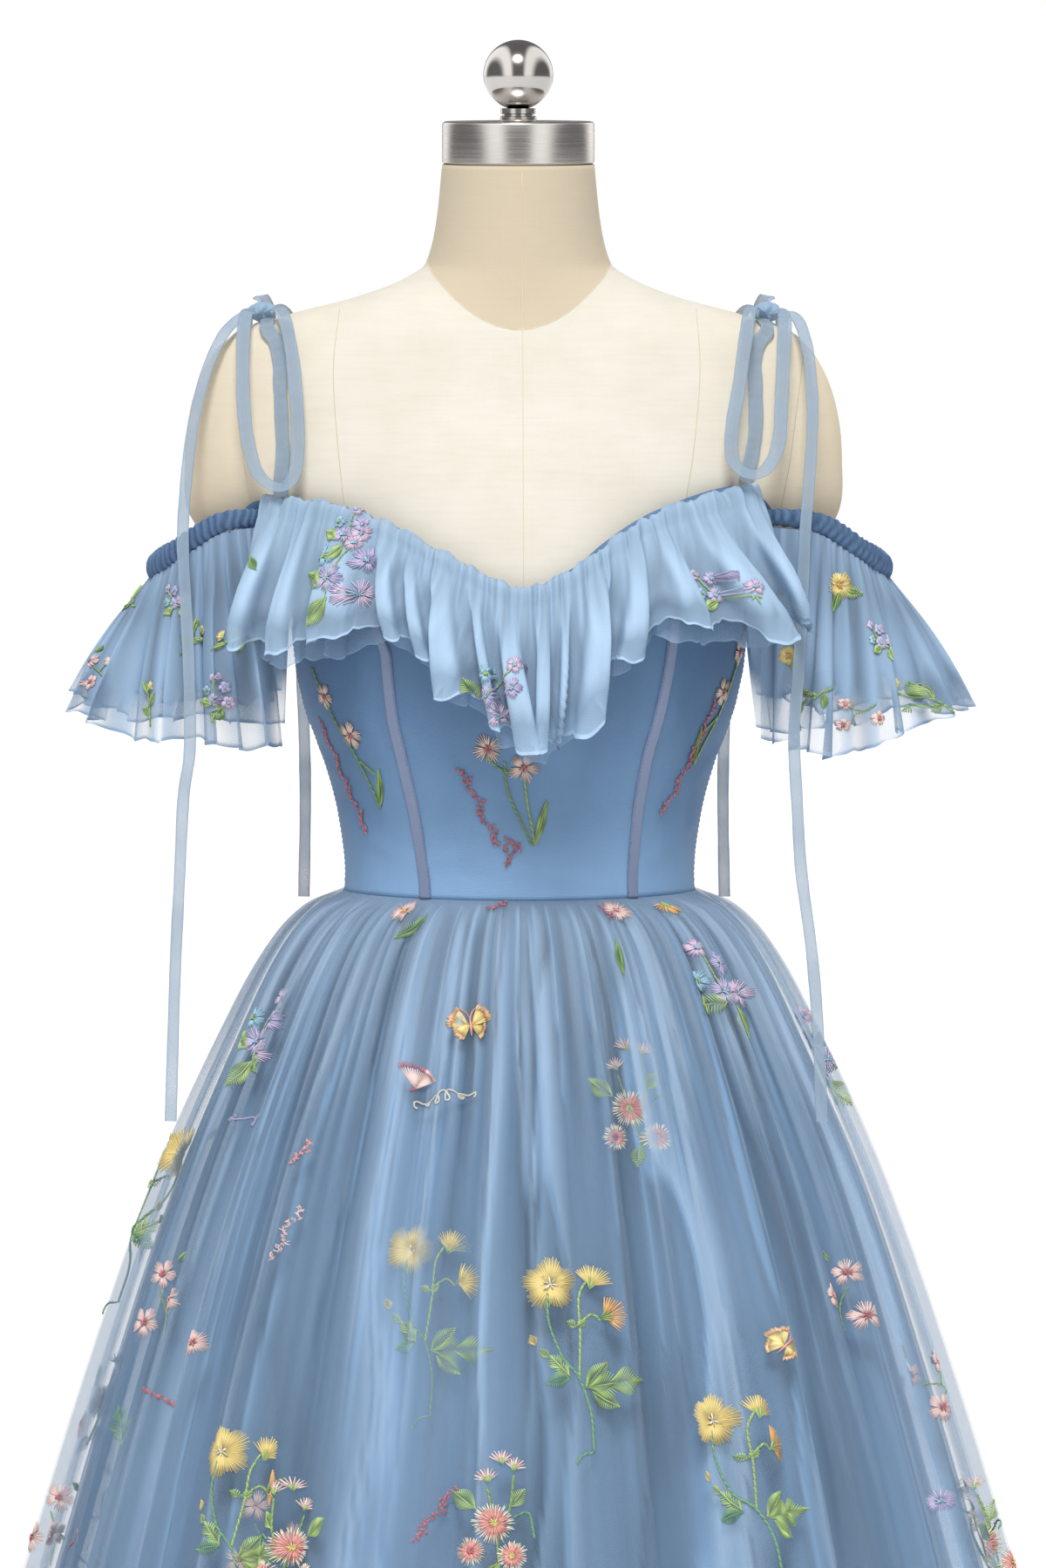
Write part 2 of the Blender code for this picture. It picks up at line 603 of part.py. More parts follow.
def build_sleeve(side, mirror, band_cloth, tulle, parts):
    """One off-shoulder sleeve: a gathered elastic band round the arm and two flounces below it."""

    def placed(point):
        return Vector((point[0] * mirror, point[1], point[2]))

    def away(centre):
        return Vector((centre.x - ARM_CENTRE[0] * mirror, centre.y - ARM_CENTRE[1], 0.0)).normalized()

    lift = EASE + CHEST_EASE + BODICE_WALL + 3.0 * SEAM_GAP + BAND_THICKNESS / 2.0
    ends = [(math.radians(angle) * mirror, height) for angle, height in (BAND_START, BAND_END)]
    start, end = [torso_point(angle, height, lift) for angle, height in ends]
    middle = [placed((x, y, WAIST_HEIGHT + height)) for x, y, height in BAND_ROUTE]
    centres = spline([start] + middle + [end], BAND_POINTS)
    faces = [away(centre) for centre in centres]
    for index, place in ((0, ends[0]), (-1, ends[1])):
        faces[index] = (centres[index] - torso_base(*place)) * Vector((1.0, 1.0, BAND_END_TILT))
    edges = ribbon_rows(centres, [BAND_WIDTH] * len(centres), faces)
    cloth("sleeve_band_" + side, edges, BAND_THICKNESS, 0.0, band_cloth, parts)

    lower = [row[0] if row[0].z < row[1].z else row[1] for row in edges]
    hem = [placed((x, y, WAIST_HEIGHT + height)) for x, y, height in HEM_ROUTE]
    below = Vector((0.0, 0.0, -BAND_GAP))

    def flounce(name, folds, length, inset, spread, depth, steps):
        rows = [[] for step in range(steps + 1)]
        for place, wave, sway in fold_columns(folds, 0.0, 1.0, FOLD_POINTS):
            top = sample(lower, place) + below
            foot = sample(hem, place)
            outward = away((top + foot) / 2.0)
            for step in range(steps + 1):
                share = step / steps
                drop = share * length
                bulge = FLOUNCE_BULGE * math.sin(math.pi * drop)
                ripple = depth * wave * (FLOUNCE_FOLD_AT_BAND + (1.0 - FLOUNCE_FOLD_AT_BAND) * share)
                reach = bulge + ripple - inset - spread * share
                rows[step].append(top.lerp(foot, drop) + outward * reach)
        cloth(name, rows, TULLE_WALL, 0.0, tulle, parts)

    flounce("sleeve_flounce_" + side, FLOUNCE_FOLDS, 1.0, -FLOUNCE_OUTSET, 0.0, FLOUNCE_FOLD_DEPTH, 3)
    flounce("sleeve_flounce_under_" + side, FLOUNCE_UNDER_FOLDS, FLOUNCE_UNDER_LENGTH,
            FLOUNCE_UNDER_INSET, FLOUNCE_UNDER_SPREAD, FLOUNCE_UNDER_DEPTH, 2)


def knot_centre(mirror):
    """Centre of a shoulder knot, resting on the form's shoulder line."""
    return torso_point(-math.pi / 2.0 * mirror, KNOT_HEIGHT, KNOT_LIFT)


def build_knot(side, mirror, tulle, parts):
    """The knot of a shoulder tie, a flattened ball of cloth."""
    bpy.ops.mesh.primitive_uv_sphere_add(segments=12, ring_count=7, radius=1.0, location=knot_centre(mirror))
    knot = bpy.context.object
    knot.name = "tie_knot_" + side
    knot.scale = KNOT_SIZE
    for collection in list(knot.users_collection):
        collection.objects.unlink(knot)
    parts.objects.link(knot)
    knot.data.materials.append(tulle)
    knot.data.shade_smooth()


def beside_knot(mirror, towards):
    """The point a seam gap outside a knot, on the way from its centre towards a point."""
    centre = knot_centre(mirror)
    way = (towards - centre).normalized()
    reach = 1.0 / math.sqrt(sum((part / size) ** 2 for part, size in zip(way, KNOT_SIZE)))
    return centre + way * (reach + 2.0 * SEAM_GAP)


def ribbon_widths(count, narrow_start, narrow_end):
    """Width of a ribbon at each point, gathered small where it runs into a knot."""
    taper = 3
    widths = []
    for index in range(count):
        from_start = smooth_step(0, taper, index) if narrow_start else 1.0
        from_end = smooth_step(0, taper, count - 1 - index) if narrow_end else 1.0
        widths.append(RIBBON_NECK + (RIBBON_WIDTH - RIBBON_NECK) * min(from_start, from_end))
    return widths


def strap(name, route, tulle, parts):
    """A strap lying on the form from the bodice's edge up to its knot."""
    count = 2 * len(route) - 1
    places = spline([Vector((math.radians(angle), height, 0.0)) for angle, height in route], count)
    centres = [torso_point(place.x, place.y, STRAP_LIFT) for place in places]
    faces = [centre - torso_base(place.x, place.y) for centre, place in zip(centres, places)]
    rows = ribbon_rows(centres, ribbon_widths(count, False, True), faces)
    cloth(name, rows, RIBBON_WALL, 0.0, tulle, parts)


def bow_ribbon(name, route, ends_in_knot, tulle, parts):
    """A loop or a tail of a bow, hanging free from its knot."""
    mirror = 1.0 if name.endswith("left") else -1.0
    points = [Vector((x, y, WAIST_HEIGHT + height)) for x, y, height in route]
    points.insert(0, beside_knot(mirror, points[0]))
    if ends_in_knot:
        points.append(beside_knot(mirror, points[-1]))
    count = 2 * len(points) - 1
    outward = Vector((0.0, -1.0 if "front" in name else 1.0, 1.0))
    rows = ribbon_rows(spline(points, count), ribbon_widths(count, True, ends_in_knot), [outward] * count)
    cloth(name, rows, RIBBON_WALL, 0.0, tulle, parts)


def build_ties(tulle, parts):
    """Shoulder ties: on each side a knot, two straps, and a bow with a loop and a tail front and back."""
    loops, tails = dict(LOOP_ROUTES), dict(TAIL_ROUTES)
    for routes, name in ((loops, "tie_loop_back"), (tails, "tie_tail_back")):
        across = 2.0 * SHOULDER_SHIFT
        routes[name + "_right"] = tuple((across - x, y, height) for x, y, height in routes[name + "_left"])
    for side, mirror in (("left", 1.0), ("right", -1.0)):
        build_knot(side, mirror, tulle, parts)
    for name, route in STRAP_ROUTES.items():
        strap(name, route, tulle, parts)
    for name, route in loops.items():
        bow_ribbon(name, route, True, tulle, parts)
    for name, route in tails.items():
        bow_ribbon(name, route, False, tulle, parts)


def skirt_outline(angle, drop, inset):
    """A point of the skirt's outline at a drop, moved in at right angles to its slope."""
    step = 0.002
    upper, lower = max(drop - step, 0.0), min(drop + step, SKIRT_LENGTH)
    half_width = read(SKIRT, "drop", drop, "half_width")
    widening = read(SKIRT, "drop", lower, "half_width") - read(SKIRT, "drop", upper, "half_width")
    slope = widening / (lower - upper) if drop > 0.0 else WAIST_LEAN
    across = 1.0 / math.sqrt(1.0 + slope * slope)
    width = half_width - inset * across
    depth = half_width * read(SKIRT, "drop", drop, "roundness") - inset * across
    height = WAIST_HEIGHT + WAIST_LAP - drop - inset * across * slope
    return Vector((width * math.sin(angle), -depth * math.cos(angle), height))


def build_skirt(tulle, lining, parts):
    """Three skirt layers, each a front and a back panel, nested by the depth of their folds."""
    half_turn = math.pi / 2.0
    inset, folds_outside = 0.0, 0.0
    for layer in SKIRT_LAYERS:
        paint = lining if layer["name"] == "skirt_lining" else tulle
        for panel, start, end in (("front", -half_turn, half_turn), ("back", half_turn, 3.0 * half_turn)):
            columns = fold_columns(layer["half_folds"], start, end, FOLD_POINTS)
            rows = []
            for drop in layer["drops"]:
                fold = read(SKIRT, "drop", drop, "fold")
                seam = SEAM_GAP / 2.0 / read(SKIRT, "drop", drop, "half_width")
                row = []
                for angle, wave, sway in columns:
                    angle = min(max(angle, start + seam), end - seam)
                    drift = FOLD_DRIFT * sway * drop / SKIRT_LENGTH
                    depth = inset + fold * (2.0 * folds_outside + layer["fold_share"] * (1.0 - wave))
                    row.append(skirt_outline(angle + drift, drop, depth))
                rows.append(row)
            cloth(layer["name"] + "_" + panel, rows, TULLE_WALL, -1.0, paint, parts)
        inset += TULLE_WALL + LAYER_GAP
        folds_outside += layer["fold_share"]


def box_mesh(name, size, centre):
    """A box of a size at a centre."""
    bm = bmesh.new()
    bmesh.ops.create_cube(bm, size=1.0)
    bmesh.ops.scale(bm, vec=size, verts=bm.verts)
    bmesh.ops.translate(bm, vec=centre, verts=bm.verts)
    mesh = bpy.data.meshes.new(name)
    bm.to_mesh(mesh)
    bm.free()
    return mesh


def join_to(piece, name, mesh, cutters):
    """Union a mesh, given in a piece's own frame, to the piece."""
    tool = bpy.data.objects.new(name, mesh)
    tool.parent = piece
    tool.hide_render = True
    tool.display_type = "WIRE"
    cutters.objects.link(tool)
    join = piece.modifiers.new(name, "BOOLEAN")
    join.operation = "UNION"
    join.solver = "EXACT"
    join.object = tool


def build_zip(tape_cloth, metal, parts, cutters):
    """Concealed zip's strip down the centre back, its slider, and the pull hinged between two lugs."""
    lift = EASE + BODICE_WALL + 2.0 * SEAM_GAP
    rows = []
    for share in BODICE_SHARES:
        height = ZIP_FOOT + (ZIP_TOP - ZIP_FOOT) * share
        half = ZIP_WIDTH / 2.0 / torso_base(math.pi / 2.0, height).x
        rows.append([torso_point(math.pi + turn * half, height, lift) for turn in (-1.0, 0.0, 1.0)])
    cloth("back_zip", rows, BODICE_WALL, 1.0, tape_cloth, parts)

    width, depth, height = SLIDER_SIZE
    face = torso_point(math.pi, SLIDER_HEIGHT, lift)
    slider = add_object("zip_slider", box_mesh("zip_slider", SLIDER_SIZE, (0.0, 0.0, 0.0)), metal, parts)
    slider.location = (face.x, face.y + depth / 2.0, face.z)
    lug_depth = LUG_REACH + depth / 2.0
    for name, turn in (("lug_left", -1.0), ("lug_right", 1.0)):
        place = (turn * (width - LUG_THICKNESS) / 2.0, lug_depth / 2.0, 0.0)
        join_to(slider, name, box_mesh(name, (LUG_THICKNESS, lug_depth, height / 2.0), place), cutters)

    eye = bmesh.new()
    bmesh.ops.create_cone(eye, cap_ends=True, segments=12, radius1=PULL_EYE_RADIUS, radius2=PULL_EYE_RADIUS,
                          depth=PULL_WIDTH, matrix=Matrix.Rotation(math.pi / 2.0, 4, "Y"))
    eye_mesh = bpy.data.meshes.new("zip_pull")
    eye.to_mesh(eye_mesh)
    eye.free()
    pull = add_object("zip_pull", eye_mesh, metal, parts)
    pull.location = slider.location + Vector((0.0, depth / 2.0 + PULL_AXIS_REACH, 0.0))
    tab_size = (PULL_WIDTH, PULL_THICKNESS, PULL_LENGTH)
    join_to(pull, "pull_tab", box_mesh("pull_tab", tab_size, (0.0, 0.0, -PULL_LENGTH / 2.0)), cutters)


def main():
    for old in list(bpy.data.objects):
        bpy.data.objects.remove(old, do_unlink=True)
    parts = bpy.data.collections.new("homecoming_dress")
    cutters = bpy.data.collections.new("join_tools")
    bpy.context.scene.collection.children.link(parts)
    bpy.context.scene.collection.children.link(cutters)

    linen = material("form_linen", (0.80, 0.74, 0.62), 0.85)
    steel = material("brushed_steel", (0.62, 0.61, 0.60), 0.28, 1.0)
    bodice_blue = material("bodice_blue", (0.20, 0.29, 0.45), 0.75)
    satin_blue = material("boning_satin", (0.20, 0.24, 0.40), 0.40)
    tulle_blue = material("tulle_blue", (0.24, 0.37, 0.58), 0.80)
    lining_blue = material("lining_blue", (0.17, 0.27, 0.44), 0.75)
    band_blue = material("band_blue", (0.10, 0.17, 0.30), 0.80)
    zip_blue = material("zip_blue", (0.16, 0.24, 0.38), 0.60)
    zip_metal = material("zip_metal", (0.30, 0.38, 0.52), 0.35, 0.6)

    build_form(linen, parts)
    build_stand(steel, parts)
    build_bodice(bodice_blue, parts)
    build_channels(satin_blue, parts)
    build_ruffle(tulle_blue, parts)
    build_sleeve("left", 1.0, band_blue, tulle_blue, parts)
    build_sleeve("right", -1.0, band_blue, tulle_blue, parts)
    build_ties(tulle_blue, parts)
    build_skirt(tulle_blue, lining_blue, parts)
    build_zip(zip_blue, zip_metal, parts, cutters)


main()
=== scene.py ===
"""Looks of a blue homecoming dress on its linen dress form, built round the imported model.

Metres, +Z up, the wearer's front faces -Y. Heights are measured up from the waist seam, drops down
from it, and angles run round the body from the centre front, positive towards +X.
"""

import math
import random

import bpy
import numpy as np
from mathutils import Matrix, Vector
from mathutils.bvhtree import BVHTree


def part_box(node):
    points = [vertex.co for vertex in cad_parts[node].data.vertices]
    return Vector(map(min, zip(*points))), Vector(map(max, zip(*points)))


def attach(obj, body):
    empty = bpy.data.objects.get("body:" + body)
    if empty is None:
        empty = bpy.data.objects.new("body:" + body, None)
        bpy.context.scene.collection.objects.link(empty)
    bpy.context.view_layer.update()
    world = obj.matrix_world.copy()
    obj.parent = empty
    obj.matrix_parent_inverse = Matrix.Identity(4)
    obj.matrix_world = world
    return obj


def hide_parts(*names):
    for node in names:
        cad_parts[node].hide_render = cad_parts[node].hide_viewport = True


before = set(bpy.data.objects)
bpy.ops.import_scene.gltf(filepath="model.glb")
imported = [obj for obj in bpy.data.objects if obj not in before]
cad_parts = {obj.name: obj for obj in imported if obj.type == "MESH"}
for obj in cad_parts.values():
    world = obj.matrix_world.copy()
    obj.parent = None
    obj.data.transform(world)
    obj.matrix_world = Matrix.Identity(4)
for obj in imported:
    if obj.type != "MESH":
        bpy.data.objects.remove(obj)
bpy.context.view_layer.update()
BODY = "dress"
PULL_BODY = "zip_pull"

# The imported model's own places and sizes
WAIST_HEIGHT = 1.030
SKIRT_LENGTH = 0.580
SEAM_GAP = 0.0003
EASE = 0.0021
CHEST_EASE = 0.0024
BODICE_WALL = 0.0012
BASE_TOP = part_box("stand_base")[1].z
BASE_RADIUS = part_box("stand_base")[1].x
POLE_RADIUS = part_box("stand_pole")[1].x
FORM_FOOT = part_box("form_torso")[0].z
CAP_LOW, CAP_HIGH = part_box("form_neck_cap")
STEM_LOW, STEM_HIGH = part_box("form_stem")
BALL_LOW, BALL_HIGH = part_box("form_finial_ball")
NECK_AXIS_X = (CAP_LOW.x + CAP_HIGH.x) / 2.0

# The dress form's sections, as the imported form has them
TORSO_COLUMNS = ("height", "half_width", "front", "back", "shift", "arm", "arm_power")
TORSO_ROWS = (
    (-0.280, 0.1560, 0.1100, 0.1160, 0.0000, 0.0000, 6.0),
    (-0.230, 0.1650, 0.1160, 0.1220, 0.0000, 0.0000, 6.0),
    (-0.180, 0.1655, 0.1165, 0.1235, 0.0000, 0.0000, 6.0),
    (-0.120, 0.1550, 0.1080, 0.1160, 0.0000, 0.0000, 6.0),
    (-0.055, 0.1280, 0.0940, 0.1000, 0.0000, 0.0000, 6.0),
    (-0.015, 0.1105, 0.0850, 0.0890, 0.0000, 0.0000, 6.0),
    (0.012, 0.1070, 0.0830, 0.0860, 0.0000, 0.0000, 6.0),
    (0.050, 0.1115, 0.0880, 0.0870, 0.0000, 0.0000, 6.0),
    (0.086, 0.1212, 0.0970, 0.0890, 0.0000, 0.0000, 6.0),
    (0.120, 0.1335, 0.1080, 0.0930, 0.0000, 0.0000, 6.0),
    (0.150, 0.1390, 0.1145, 0.0960, 0.0000, 0.0000, 6.0),
    (0.175, 0.1415, 0.1160, 0.0990, 0.0000, 0.0000, 6.0),
    (0.198, 0.1445, 0.1130, 0.1015, -0.0010, 0.0010, 12.0),
    (0.208, 0.1480, 0.1110, 0.1020, -0.0020, 0.0220, 12.0),
    (0.222, 0.1530, 0.1070, 0.1030, -0.0030, 0.0410, 9.0),
    (0.242, 0.1590, 0.1010, 0.1035, -0.0038, 0.0470, 5.0),
    (0.268, 0.1660, 0.0930, 0.1030, -0.0038, 0.0416, 3.0),
    (0.298, 0.1700, 0.0820, 0.1000, -0.0038, 0.0354, 2.0),
    (0.320, 0.1710, 0.0740, 0.0960, -0.0038, 0.0287, 1.6),
    (0.342, 0.1700, 0.0660, 0.0900, -0.0038, 0.0180, 1.3),
    (0.353, 0.1690, 0.0620, 0.0860, -0.0035, 0.0070, 1.0),
    (0.364, 0.1440, 0.0580, 0.0800, -0.0030, 0.0000, 1.0),
    (0.375, 0.1030, 0.0550, 0.0710, -0.0020, 0.0000, 1.0),
    (0.386, 0.0740, 0.0530, 0.0620, -0.0010, 0.0000, 1.0),
    (0.397, 0.0583, 0.0515, 0.0550, -0.0008, 0.0000, 1.0),
    (0.425, 0.0515, 0.0495, 0.0500, -0.0008, 0.0000, 1.0),
    (0.459, 0.0480, 0.0480, 0.0480, -0.0008, 0.0000, 1.0),
)

# The form's neck seam: lowest height at the centre front, its rise with x squared, and its rise behind,
# which takes over between two values of y
NECK_SEAM_LOW = WAIST_HEIGHT + 0.357
NECK_SEAM_BOWL = 11.5
NECK_SEAM_BACK = 0.042
NECK_SEAM_TURN = (-0.030, 0.030)
BISECTIONS = 40
SEAM_BISECTIONS = 30

# The ruffle's gathered edge and how long the ruffle falls from it, both by angle in degrees
NECKLINE_COLUMNS = ("angle", "height")
NECKLINE_ROWS = (
    (-53.5, 0.2520), (-40.4, 0.2490), (-29.0, 0.2370), (-15.0, 0.2160), (1.4, 0.1975),
    (14.8, 0.2110), (22.8, 0.2270), (36.0, 0.2480), (50.8, 0.2610),
)
RUFFLE_FALL_COLUMNS = ("angle", "fall")
RUFFLE_FALL_ROWS = (
    (-53.5, 0.088), (-46.0, 0.092), (-37.0, 0.082), (-32.0, 0.072), (-27.0, 0.062), (-22.0, 0.060),
    (-17.5, 0.064), (-13.0, 0.078), (-9.0, 0.070), (-5.0, 0.088), (0.6, 0.094), (5.0, 0.099),
    (11.5, 0.096), (15.5, 0.082), (19.0, 0.066), (24.0, 0.072), (29.0, 0.062), (36.0, 0.074),
    (43.0, 0.084), (50.8, 0.088),
)
TOP_EDGE_COLUMNS = ("angle", "height")
TOP_EDGE_ROWS = (
    (-180.0, 0.1740), (-155.0, 0.1860), (-138.0, 0.2160), (-125.0, 0.2340), (-110.0, 0.1980),
    (-95.0, 0.1680), (-80.0, 0.1660), (-71.0, 0.1900), (-62.0, 0.2400), (-53.5, 0.2505),
    (-40.4, 0.2475), (-29.0, 0.2355), (-15.0, 0.2145), (1.4, 0.1960), (14.8, 0.2095),
    (22.8, 0.2255), (36.0, 0.2465), (50.8, 0.2595), (61.0, 0.2430), (71.0, 0.1900),
    (80.0, 0.1660), (95.0, 0.1680), (110.0, 0.1980), (125.0, 0.2340), (138.0, 0.2160),
    (155.0, 0.1860), (180.0, 0.1740),
)
BONED_SEAM_COLUMNS = ("height", "left", "right")
BONED_SEAM_ROWS = (
    (0.000, -32.2, 39.9), (0.036, -34.0, 40.0), (0.094, -35.8, 39.4), (0.154, -35.6, 41.4),
    (0.176, -38.6, 42.0), (0.260, -39.5, 38.0),
)
BUST_HEIGHT = 0.150
CHANNEL_WIDTH = 0.0084
STITCH_LIFT = 0.0001
EDGE_STITCHES = (0.0034, 0.0022, 0.00022)
CHANNEL_STITCHES = (0.0026, 0.0015, 0.00030)
SEAM_THREAD_RADIUS = 0.00024
ZIP_HALF_WIDTH = 0.0045

# Neck ruffle: how far it stands out of the bodice, and its folds, by the share of its fall
RUFFLE_COLUMNS = ("share", "reach", "fold", "under_reach", "under_fold")
RUFFLE_ROWS = (
    (0.00, 0.0040, 0.0012, 0.0016, 0.0002),
    (0.12, 0.0108, 0.0034, 0.0046, 0.0010),
    (0.38, 0.0204, 0.0078, 0.0088, 0.0024),
    (0.70, 0.0294, 0.0118, 0.0124, 0.0040),
    (1.00, 0.0350, 0.0140, 0.0150, 0.0055),
)
RUFFLE_UNDER_FOLDS = 9
RUFFLE_VALLEY = 0.0105
RUFFLE_RIGHT_FLARE = 0.012

# Flutes of the upper layer from left to right: width and lean in degrees, depth in metres
FLUTE_COLUMNS = ("width", "depth", "lean")
FLUTE_ROWS = (
    (8.0, 0.0120, -5.0), (4.4, 0.0070, -2.0), (10.6, 0.0110, 4.0), (5.6, 0.0100, 5.0), (4.4, 0.0070, 3.5),
    (8.6, 0.0165, 7.0), (4.4, 0.0080, 4.0), (9.4, 0.0180, 5.0), (7.0, 0.0140, 0.5), (4.4, 0.0070, -4.0),
    (9.6, 0.0185, -7.0), (6.2, 0.0120, -4.0), (4.4, 0.0070, 2.0), (9.6, 0.0190, 7.0), (7.7, 0.0150, 7.0),
)

# Sleeve routes at -X, from front to back, given by x, y and height; the other side mirrors them
BAND_ROUTE = (
    (-0.1880, -0.0620, 0.2360), (-0.2140, -0.0450, 0.2190), (-0.2290, -0.0180, 0.2070),
    (-0.2320, 0.0120, 0.2050), (-0.2240, 0.0450, 0.2100), (-0.2030, 0.0700, 0.2180),
    (-0.1760, 0.0840, 0.2240),
)
HEM_ROUTE = (
    (-0.1500, -0.0480, 0.0980), (-0.1800, -0.0700, 0.0940), (-0.2260, -0.0740, 0.1000),
    (-0.2660, -0.0480, 0.1120), (-0.2800, -0.0050, 0.1200), (-0.2740, 0.0450, 0.1160),
    (-0.2450, 0.0850, 0.1060), (-0.2000, 0.1080, 0.0980), (-0.1500, 0.1120, 0.0960),
)
ARM_CENTRE = (-0.165, 0.008)
BAND_START = (-57.0, 0.2420)
BAND_END = (-121.0, 0.2180)
BAND_WIDTH = 0.0140
BAND_THICKNESS = 0.0062
BAND_GATHERS = 46
FLOUNCE_FOLDS = 10
FLOUNCE_UNDER_FOLDS = 6
FLOUNCE_FOLD_DEPTH = 0.0105
FLOUNCE_BULGE = 0.0040
BAND_STEPS = 240
BAND_SIDES = 20
BAND_END_STEPS = 12

# Ties, by angle and height on the form, or by x, y and height where they hang free
STRAP_WIDTH = 0.0094
BOW_WIDTH = 0.0086
TAIL_WIDTH = 0.0074
RIBBON_NECK = 0.0038
RIBBON_THICKNESS = 0.0011
KNOT_HEIGHT = 0.3600
KNOT_LIFT = 0.0064
KNOT_SIZE = (0.0082, 0.0070, 0.0064)
KNOT_CORE = (0.0075, 0.0065, 0.0060)
KNOT_ROWS = 26
RIBBON_SIDES = 14
STRAP_STEPS = 90
BOW_STEPS = 130
STRAP_LIFT = 0.0022
SHOULDER_SHIFT = -0.0035
STRAP_ROUTES = {
    "tie_strap_front_left": ((-51.5, 0.2526), (-47.7, 0.2850), (-48.2, 0.3200), (-52.0, 0.3420),
                             (-60.0, 0.3530), (-74.0, 0.3590), (-84.5, 0.3598)),
    "tie_strap_front_right": ((50.0, 0.2614), (50.0, 0.2850), (50.5, 0.3200), (54.3, 0.3420),
                              (63.5, 0.3530), (76.0, 0.3590), (84.5, 0.3598)),
    "tie_strap_back_left": ((-126.0, 0.2345), (-131.0, 0.2700), (-131.0, 0.3000), (-126.0, 0.3300),
                            (-118.0, 0.3490), (-106.0, 0.3580), (-94.0, 0.3598)),
    "tie_strap_back_right": ((126.0, 0.2345), (131.0, 0.2700), (131.0, 0.3000), (126.0, 0.3300),
                             (118.0, 0.3490), (106.0, 0.3580), (94.0, 0.3598)),
}
LOOP_ROUTES = {
    "tie_loop_front_left": (
        (-0.1720, -0.0190, 0.3650), (-0.1735, -0.0410, 0.3450), (-0.1730, -0.0550, 0.3146),
        (-0.1700, -0.0650, 0.2880), (-0.1630, -0.0720, 0.2670), (-0.1500, -0.0765, 0.2590),
        (-0.1405, -0.0765, 0.2680), (-0.1385, -0.0720, 0.2900), (-0.1400, -0.0650, 0.3200),
        (-0.1435, -0.0520, 0.3480), (-0.1500, -0.0250, 0.3680)),
    "tie_loop_front_right": (
        (0.1455, -0.0250, 0.3690), (0.1415, -0.0520, 0.3500), (0.1370, -0.0650, 0.3200),
        (0.1330, -0.0730, 0.2980), (0.1330, -0.0780, 0.2780), (0.1400, -0.0810, 0.2690),
        (0.1500, -0.0800, 0.2680), (0.1580, -0.0750, 0.2760), (0.1625, -0.0680, 0.2900),
        (0.1640, -0.0590, 0.3120), (0.1655, -0.0450, 0.3400), (0.1665, -0.0190, 0.3650)),
    "tie_loop_back_left": (
        (-0.1515, 0.0250, 0.3680), (-0.1440, 0.0640, 0.3530), (-0.1415, 0.0800, 0.3250),
        (-0.1410, 0.0870, 0.2950), (-0.1450, 0.0890, 0.2740), (-0.1540, 0.0880, 0.2660),
        (-0.1640, 0.0860, 0.2740), (-0.1690, 0.0820, 0.2950), (-0.1710, 0.0740, 0.3220),
        (-0.1735, 0.0540, 0.3500), (-0.1725, 0.0210, 0.3650)),
}
TAIL_ROUTES = {
    "tie_tail_front_left": (
        (-0.1740, -0.0070, 0.3640), (-0.1860, -0.0190, 0.3530), (-0.1965, -0.0300, 0.3300),
        (-0.2045, -0.0410, 0.2980), (-0.2090, -0.0550, 0.2600), (-0.2107, -0.0660, 0.2250),
        (-0.2085, -0.0760, 0.1850), (-0.2062, -0.0900, 0.1400), (-0.2057, -0.0990, 0.0960),
        (-0.2095, -0.1030, 0.0670), (-0.2123, -0.1040, 0.0120), (-0.2150, -0.1040, -0.0430),
        (-0.2180, -0.1040, -0.1360)),
    "tie_tail_front_right": (
        (0.1740, -0.0090, 0.3630), (0.1800, -0.0300, 0.3480), (0.1830, -0.0450, 0.3250),
        (0.1835, -0.0560, 0.2980), (0.1810, -0.0670, 0.2600), (0.1785, -0.0745, 0.2300),
        (0.1765, -0.0790, 0.1850), (0.1740, -0.0850, 0.1400), (0.1715, -0.0900, 0.1050),
        (0.1735, -0.0940, 0.0600), (0.1760, -0.0970, 0.0200), (0.1825, -0.1010, -0.0300),
        (0.1865, -0.1040, -0.0800), (0.1890, -0.1060, -0.1360)),
    "tie_tail_back_left": (
        (-0.1650, 0.0150, 0.3745), (-0.1620, 0.0420, 0.3740), (-0.1590, 0.0690, 0.3620),
        (-0.1560, 0.0870, 0.3250), (-0.1550, 0.0950, 0.2850), (-0.1510, 0.0990, 0.2400),
        (-0.1450, 0.1020, 0.2000), (-0.1410, 0.1120, 0.1500), (-0.1390, 0.1230, 0.1000),
        (-0.1380, 0.1240, 0.0500), (-0.1390, 0.1240, -0.0150)),
}

# Skirt outline at the tops of its folds, and its layers from the outside in
SKIRT_COLUMNS = ("drop", "half_width", "roundness", "fold")
SKIRT_ROWS = (
    (0.0000, 0.1138, 0.816, 0.0001), (0.0080, 0.1330, 0.830, 0.0016),
    (0.0300, 0.1560, 0.840, 0.0032), (0.0900, 0.1900, 0.860, 0.0048),
    (0.1900, 0.2355, 0.890, 0.0064), (0.3100, 0.2780, 0.910, 0.0080),
    (0.4400, 0.3186, 0.925, 0.0092), (0.5800, 0.3620, 0.940, 0.0100),
)

# Skirt layers: name, folds of a panel, share of the fold depth, length, grid columns and rows, paint
SKIRT_LAYER_ROWS = (
    ("skirt_tulle", 20, 0.86, 0.580, 380, 70, "skirt_sheer"),
    ("skirt_tulle_under", 10, 0.84, 0.566, 290, 56, "skirt_net"),
    ("skirt_lining", 6, 0.38, 0.552, 150, 40, "lining"),
)

# Orders of pleats: count in a panel, seed, the drop where they have grown, the drop where they end
PLEAT_ROWS = ((8, 1.0, 0.10, 0.0), (15, 2.3, 0.05, 0.0), (27, 3.1, 0.02, 0.42), (46, 4.4, 0.0, 0.16))
LAYER_STEP = 0.0017
FOLD_DRIFT = 0.016
WAIST_LEAN = 0.42
WAIST_LAP = 0.0004

